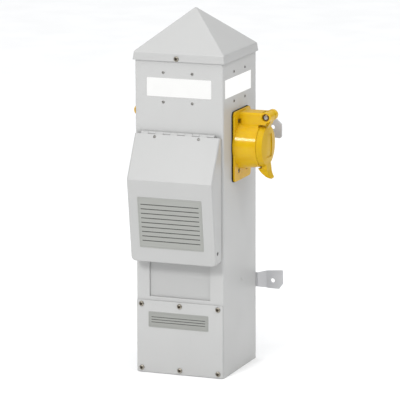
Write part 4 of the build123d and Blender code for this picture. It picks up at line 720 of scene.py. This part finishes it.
@dataclass
class DataPlate:
    """A thin bare foil plate with rounded corners, a rolled edge, a border groove and blank ruled rows.

    Args:
        name: The piece's name.
        node: The CAD node that carries it.
        low: Left and lower limit on the front, X and Z.
        high: Right and upper limit on the front, X and Z.
        body: The body that it moves with.
        slot: The name of a material slot; not used.
        rows: How many blank rows are ruled on it.
        thickness: How far it stands off its carrier.
        corner: Corner radius.
        border: How far in the groove runs.
        groove: Width of the groove.
        rule: Height of a ruled line.
    """

    name: str
    node: str
    low: Pair
    high: Pair
    body: str
    slot: str
    rows: int
    thickness: float = 0.45 * MM
    corner: float = 1.6 * MM
    border: float = 2.2 * MM
    groove: float = 0.5 * MM
    rule: float = 1.1 * MM

    # Where the look at the carrier starts, in front of the post.
    AHEAD: ClassVar[float] = 1.0
    # Steps of each rounded corner, and the least radius that it keeps further in.
    ARC_STEPS: ClassVar[int] = 5
    LEAST_RADIUS: ClassVar[float] = 0.3 * MM
    # How far the ruled rows stay inside the outline, in borders, and how high they stand.
    SIDE_MARGIN: ClassVar[float] = 2.4
    END_MARGIN: ClassVar[float] = 2.0
    RIDGE: ClassVar[float] = 0.06 * MM
    # The rolled edge, which starts inside the carrier, and the pressed groove.
    SUNK: ClassVar[float] = 0.1 * MM
    EDGE: ClassVar[float] = 0.15 * MM
    BREAK: ClassVar[float] = 0.045 * MM
    GROOVE_DEPTH: ClassVar[float] = 0.12 * MM
    GROOVE_SLOPE: ClassVar[float] = 0.1 * MM

    def carrier(self) -> tuple[Matrix, float, float]:
        """Finds the plate's seat on its carrier by looking at the carrier from the front.

        Returns:
            The matrix from the plate's own frame to the row frame, and the plate's width and height.
        """
        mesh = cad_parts[self.node].data
        tree = BVHTree.FromPolygons([point.co for point in mesh.vertices],
                                    [tuple(face.vertices) for face in mesh.polygons])
        middle = (self.low[0] + self.high[0]) / 2
        seats = [tree.ray_cast(Vector((middle, -self.AHEAD, height)), Vector((0.0, 1.0, 0.0)))[0]
                 for height in (self.low[1], self.high[1])]
        up = (seats[1] - seats[0]).normalized()
        across = Vector((1.0, 0.0, 0.0))
        out = across.cross(up)
        centre = (seats[0] + seats[1]) / 2
        matrix = Matrix((across, up, out)).transposed().to_4x4()
        return Matrix.Translation(centre) @ matrix, self.high[0] - self.low[0], (seats[1] - seats[0]).length

    def loop(self, shape: bmesh.types.BMesh, size: Pair, inset: float,
             rise: float) -> list[bmesh.types.BMVert]:
        """Adds one rounded rectangle of points.

        Args:
            shape: The mesh that gets them.
            size: The plate's width and height.
            inset: How far inside the plate's outline.
            rise: Height above the carrier.

        Returns:
            The new points, in order round the plate.
        """
        radius = max(self.corner - inset, self.LEAST_RADIUS)
        half = [length / 2 - inset - radius for length in size]
        points = []
        for quarter, (right, top) in enumerate(((1, 1), (-1, 1), (-1, -1), (1, -1))):
            for step in range(self.ARC_STEPS + 1):
                angle = (quarter + step / self.ARC_STEPS) * pi / 2
                points.append(shape.verts.new((right * half[0] + radius * cos(angle),
                                               top * half[1] + radius * sin(angle), rise)))
        return points

    def ruled(self, shape: bmesh.types.BMesh, size: Pair) -> None:
        """Rules the blank rows, each a low ridge with sloping sides.

        Args:
            shape: The plate's mesh.
            size: The plate's width and height.
        """
        reach = size[0] / 2 - self.SIDE_MARGIN * self.border
        top = size[1] / 2 - self.END_MARGIN * self.border
        pitch = 2 * top / (self.rows + 1)
        for row in range(self.rows):
            height = top - (row + 1) * pitch
            rings = []
            for rise in (0.0, self.RIDGE):
                x, y = reach - rise, self.rule / 2 - rise
                corners = ((-x, -y), (x, -y), (x, y), (-x, y))
                rings.append([shape.verts.new((a, height + b, self.thickness + rise)) for a, b in corners])
            foot, crest = rings
            faces = [shape.faces.new(crest)]
            faces += [shape.faces.new((foot[k], foot[k - 3], crest[k - 3], crest[k])) for k in range(4)]
            for face in faces:
                face.material_index = 1

    def build(self) -> bpy.types.Object:
        """Builds the plate on its carrier.

        Returns:
            The plate.
        """
        matrix, width, height = self.carrier()
        size = (width, height)
        shape = bmesh.new()
        top, inner = self.thickness, self.border + self.groove
        groove = top - self.GROOVE_DEPTH
        steps = ((0.0, -self.SUNK), (0.0, top - self.EDGE), (self.BREAK, top - self.BREAK),
                 (self.EDGE, top), (self.border, top), (self.border + self.GROOVE_SLOPE, groove),
                 (inner - self.GROOVE_SLOPE, groove), (inner, top))
        rings = [self.loop(shape, size, inset, rise) for inset, rise in steps]
        count = len(rings[0])
        for lower, upper in zip(rings, rings[1:]):
            for k in range(count):
                shape.faces.new((lower[k], lower[(k + 1) % count], upper[(k + 1) % count], upper[k]))
        shape.faces.new(rings[-1])
        self.ruled(shape, size)
        shape.transform(matrix)
        plate = mesh_piece(self.name, shape, (Coats.PLATE, Coats.RULE), self.body)
        return plate


@dataclass
class Post(SubAssembly):
    """The square post, its base plate and the paint they wear."""

    title: str = "post"
    coats: Mapping[str, Finish] = field(default_factory=lambda: {
        "post_shell": Coats.POST, "base_plate": Coats.GALVANISED, "chassis_rivets": Coats.POST})


@dataclass
class PyramidCap(SubAssembly):
    """The pressed cap and the screws through its skirt."""

    title: str = "cap"
    coats: Mapping[str, Finish] = field(default_factory=lambda: {
        "cap": Coats.CAP, "cap_screws": Coats.SCREW})


@dataclass
class LightChamber(SubAssembly):
    """The lamp on its shelf and the lit windows round it."""

    title: str = "light chamber"
    coats: Mapping[str, Finish] = field(default_factory=lambda: {
        "front_lens": Coats.LENS, "right_lens": Coats.LENS, "left_lens": Coats.LENS,
        "lens_rivets": Coats.RIVET, "light_shelf": Coats.GALVANISED,
        "lamp_socket": Coats.SOCKET, "lamp_bulb": Coats.LAMP})


@dataclass
class WiringBay(SubAssembly):
    """The lower access cover, what holds it and what it hides.

    Args:
        plate_low: Left and lower limit of the data plate.
        plate_high: Right and upper limit of the data plate.
    """

    title: str = "wiring bay"
    coats: Mapping[str, Finish] = field(default_factory=lambda: {
        "access_cover": Coats.POST, "access_screws": Coats.SCREW, "access_nuts": Coats.SCREW,
        "terminal_block": Coats.BREAKER, "terminal_lugs": Coats.LUG, "ground_bar": Coats.BRASS})
    plate_low: Pair = (-54.5 * MM, 77.0 * MM)
    plate_high: Pair = (50.2 * MM, 103.0 * MM)

    def build(self) -> list[bpy.types.Object]:
        """Builds the strip plate on the access cover."""
        plate = DataPlate("access_cover_plate", "access_cover", self.plate_low, self.plate_high, "pedestal",
                          "screw_zinc", rows=3)
        return [plate.build()]


@dataclass
class BreakerHood(SubAssembly):
    """The hood over the breakers, its hinge and its data plate.

    Args:
        plate_low: Left and lower limit of the data plate.
        plate_high: Right and upper limit of the data plate.
    """

    title: str = "breaker hood"
    coats: Mapping[str, Finish] = field(default_factory=lambda: {
        "hood": Coats.HOOD, "hood_rivets": Coats.RIVET, "lock_tabs": Coats.HOOD,
        "hinge_leaf_post": Coats.HOOD, "hinge_leaf_hood": Coats.HOOD, "hinge_pin": Coats.HINGE,
        "hinge_rivets": Coats.RIVET})
    plate_low: Pair = (-56.6 * MM, 216.5 * MM)
    plate_high: Pair = (54.5 * MM, 301.5 * MM)

    def build(self) -> list[bpy.types.Object]:
        """Builds the data plate on the hood's lower panel."""
        plate = DataPlate("hood_plate", "hood", self.plate_low, self.plate_high, "hood", "screw_zinc",
                          rows=9, rule=1.5 * MM)
        return [plate.build()]


@dataclass
class BreakerBay(SubAssembly):
    """What the hood covers: the dead front, the breakers and what carries them."""

    title: str = "breaker bay"
    coats: Mapping[str, Finish] = field(default_factory=lambda: {
        "dead_front": Coats.HOOD, "dead_front_screws": Coats.SCREW, "chassis": Coats.GALVANISED,
        "breaker_rail": Coats.GALVANISED,
        "breaker_case_left": Coats.BREAKER, "breaker_case_right": Coats.BREAKER,
        "breaker_toggle_left": Coats.BREAKER, "breaker_toggle_right": Coats.BREAKER,
        "neutral_bar": Coats.BRASS, "neutral_feet": Coats.BREAKER})


@dataclass
class Brackets(SubAssembly):
    """The two straps across the back, with their bolts and nuts."""

    title: str = "brackets"
    coats: Mapping[str, Finish] = field(default_factory=lambda: {
        "upper_bracket": Coats.BRACKET, "lower_bracket": Coats.BRACKET,
        "bracket_bolts": Coats.BRACKET, "bracket_nuts": Coats.BRACKET})


class Side(Enum):
    """The two sides of the post that carry a receptacle."""

    RIGHT = "right"
    LEFT = "left"


@dataclass
class OutletCover(SubAssembly):
    """One receptacle with its yellow cover and lid.

    Args:
        side: The side of the post that carries it.
    """

    title: str = "outlet cover"
    side: Side = Side.RIGHT
    finishes: Mapping[str, Finish] = field(default_factory=lambda: {
        "gasket": Coats.GASKET, "cover": Coats.COVER, "lid": Coats.LID, "lid_seal": Coats.GASKET,
        "lid_spring": Coats.HINGE, "receptacle": Coats.RECEPTACLE,
        "contacts": Coats.BRASS, "cover_screws": Coats.SCREW})

    def __post_init__(self) -> None:
        """Names the nodes of this side."""
        self.title = f"{self.side.value} outlet cover"
        pin = Coats.RIGHT_PIN if self.side is Side.RIGHT else Coats.LEFT_PIN
        parts = {**self.finishes, "lid_pin": pin}
        self.coats = {f"{self.side.value}_{part}": finish for part, finish in parts.items()}


@dataclass(frozen=True)
class Softbox:
    """A square soft light that faces the middle of the post.

    Args:
        name: The light's name.
        towards: Direction from the post to the light.
        size: Side of its face.
        power: Its power in watts.
        away: Distance to it.
        middle: Height of the post's middle.
    """

    name: str
    towards: tuple[float, float, float]
    size: float
    power: float
    away: float = 3.0
    middle: float = 0.35

    def hang(self) -> None:
        """Hangs the light in the scene."""
        data = bpy.data.lights.new(self.name, "AREA")
        data.shape, data.size, data.energy = "SQUARE", self.size, self.power
        light = bpy.data.objects.new(self.name, data)
        bpy.context.scene.collection.objects.link(light)
        out = Vector(self.towards).normalized()
        light.location = Vector((0.0, 0.0, self.middle)) + out * self.away
        light.rotation_mode = "QUATERNION"
        light.rotation_quaternion = (-out).to_track_quat("-Z", "Y")


@dataclass
class Studio:
    """Pale floor, soft light and the camera that stands where the photographer stood.

    Args:
        target: Height of the point on the post's axis that the lens axis passes.
        azimuth: Camera's turn round the post from straight in front, in degrees.
        elevation: Camera's height above the horizon, in degrees.
        roll: Camera's tilt, in degrees.
        distance: From the camera to that point.
        lens: Focal length in millimetres.
        sensor: Width of the sensor in millimetres.
        shift: Lens shift across and up, as shares of the sensor.
        clip: Nearest and farthest distance that the camera sees.
        sky: Colour of the sky.
        horizon: Strength of the sky low down.
        zenith: Strength of the sky straight above.
        lights: The key in front and the light high on the right.
        rings: Radii of the floor's rings.
        spokes: Points on each of them.
        drop: How far the floor lies under the foot of the post.
    """

    target: float = 0.270
    azimuth: float = 21.432
    elevation: float = 11.646
    roll: float = -0.243
    distance: float = 5.1515
    lens: float = 282.39
    sensor: float = 36.0
    shift: Pair = (0.00853, 0.01113)
    clip: Pair = (0.05, 100.0)
    sky: RGB = shade(253, 254, 255)
    horizon: float = 0.15
    zenith: float = 1.52
    lights: tuple[Softbox, ...] = (Softbox("key", (-0.12, -0.84, 0.53), 0.6, 40.0),
                                   Softbox("side", (0.52, -0.21, 0.82), 1.0, 17.5))
    rings: tuple[float, ...] = (0.3, 1.0, 4.0, 16.0, 60.0)
    spokes: int = 96
    drop: float = 0.2 * MM

    def directions(self) -> tuple[Vector, Vector, Vector]:
        """Gives the camera's right, up and backward directions."""
        turn, lift, tilt = radians(self.azimuth), radians(self.elevation), radians(self.roll)
        back = Vector((sin(turn) * cos(lift), -cos(turn) * cos(lift), sin(lift)))
        level = Vector((cos(turn), sin(turn), 0.0))
        high = back.cross(level)
        return cos(tilt) * level + sin(tilt) * high, cos(tilt) * high - sin(tilt) * level, back

    def camera(self) -> bpy.types.Object:
        """Places the camera.

        Returns:
            The camera, made the scene's own.
        """
        data = bpy.data.cameras.new("camera")
        data.lens, data.sensor_width = self.lens, self.sensor
        data.shift_x, data.shift_y = self.shift
        data.clip_start, data.clip_end = self.clip
        camera = bpy.data.objects.new("camera", data)
        bpy.context.scene.collection.objects.link(camera)
        right, up, back = self.directions()
        place = Vector((0.0, 0.0, self.target)) + back * self.distance
        camera.matrix_world = Matrix.Translation(place) @ Matrix((right, up, back)).transposed().to_4x4()
        bpy.context.scene.camera = camera
        return camera

    def floor(self) -> bpy.types.Object:
        """Lays the floor, a wide disc in rings, at the foot of the post.

        Returns:
            The floor.
        """
        shape = bmesh.new()
        turns = [2 * pi * k / self.spokes for k in range(self.spokes)]
        rings = [[shape.verts.new((radius * cos(turn), radius * sin(turn), -self.drop)) for turn in turns]
                 for radius in self.rings]
        shape.faces.new(rings[0])
        for inner, outer in zip(rings, rings[1:]):
            for k in range(self.spokes):
                shape.faces.new((inner[k - 1], outer[k - 1], outer[k], inner[k]))
        mesh = bpy.data.meshes.new("floor")
        shape.to_mesh(mesh)
        shape.free()
        mesh.materials.append(Coats.FLOOR.material())
        floor = bpy.data.objects.new("floor", mesh)
        bpy.context.scene.collection.objects.link(floor)
        return floor

    def light(self) -> None:
        """Lights the set: a sky that is brighter above, and the lights."""
        world = bpy.data.worlds.new("studio")
        world.use_nodes = True
        world.node_tree.nodes.clear()
        graph = Graph(world.node_tree)
        aim = graph.add("ShaderNodeTexCoord").outputs["Generated"]
        height = graph.add("ShaderNodeSeparateXYZ", {0: aim}).outputs["Z"]
        strength = graph.span(height, self.horizon, self.zenith)
        sky = graph.add("ShaderNodeBackground", {"Color": opaque(self.sky), "Strength": strength})
        graph.add("ShaderNodeOutputWorld", {"Surface": sky.outputs[0]})
        bpy.context.scene.world = world
        bpy.context.scene.view_settings.view_transform = "Standard"
        for light in self.lights:
            light.hang()

    def build(self) -> None:
        """Sets up the floor, the lights and the camera."""
        self.floor()
        self.light()
        self.camera()


def main() -> None:
    """Builds the studio and every sub-assembly."""
    logging.basicConfig(level=logging.INFO, format="%(name)s: %(message)s")
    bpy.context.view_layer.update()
    Studio().build()
    assemblies = (Post(), PyramidCap(), LightChamber(), WiringBay(), BreakerHood(), BreakerBay(),
                  Brackets(), OutletCover(side=Side.RIGHT), OutletCover(side=Side.LEFT))
    for assembly in assemblies:
        dressed = assembly.dress()
        added = assembly.build()
        LOG.info("%s: %d nodes dressed, %d pieces added", assembly.title, dressed, len(added))
    bpy.context.view_layer.update()


if __name__ == "__main__":
    main()
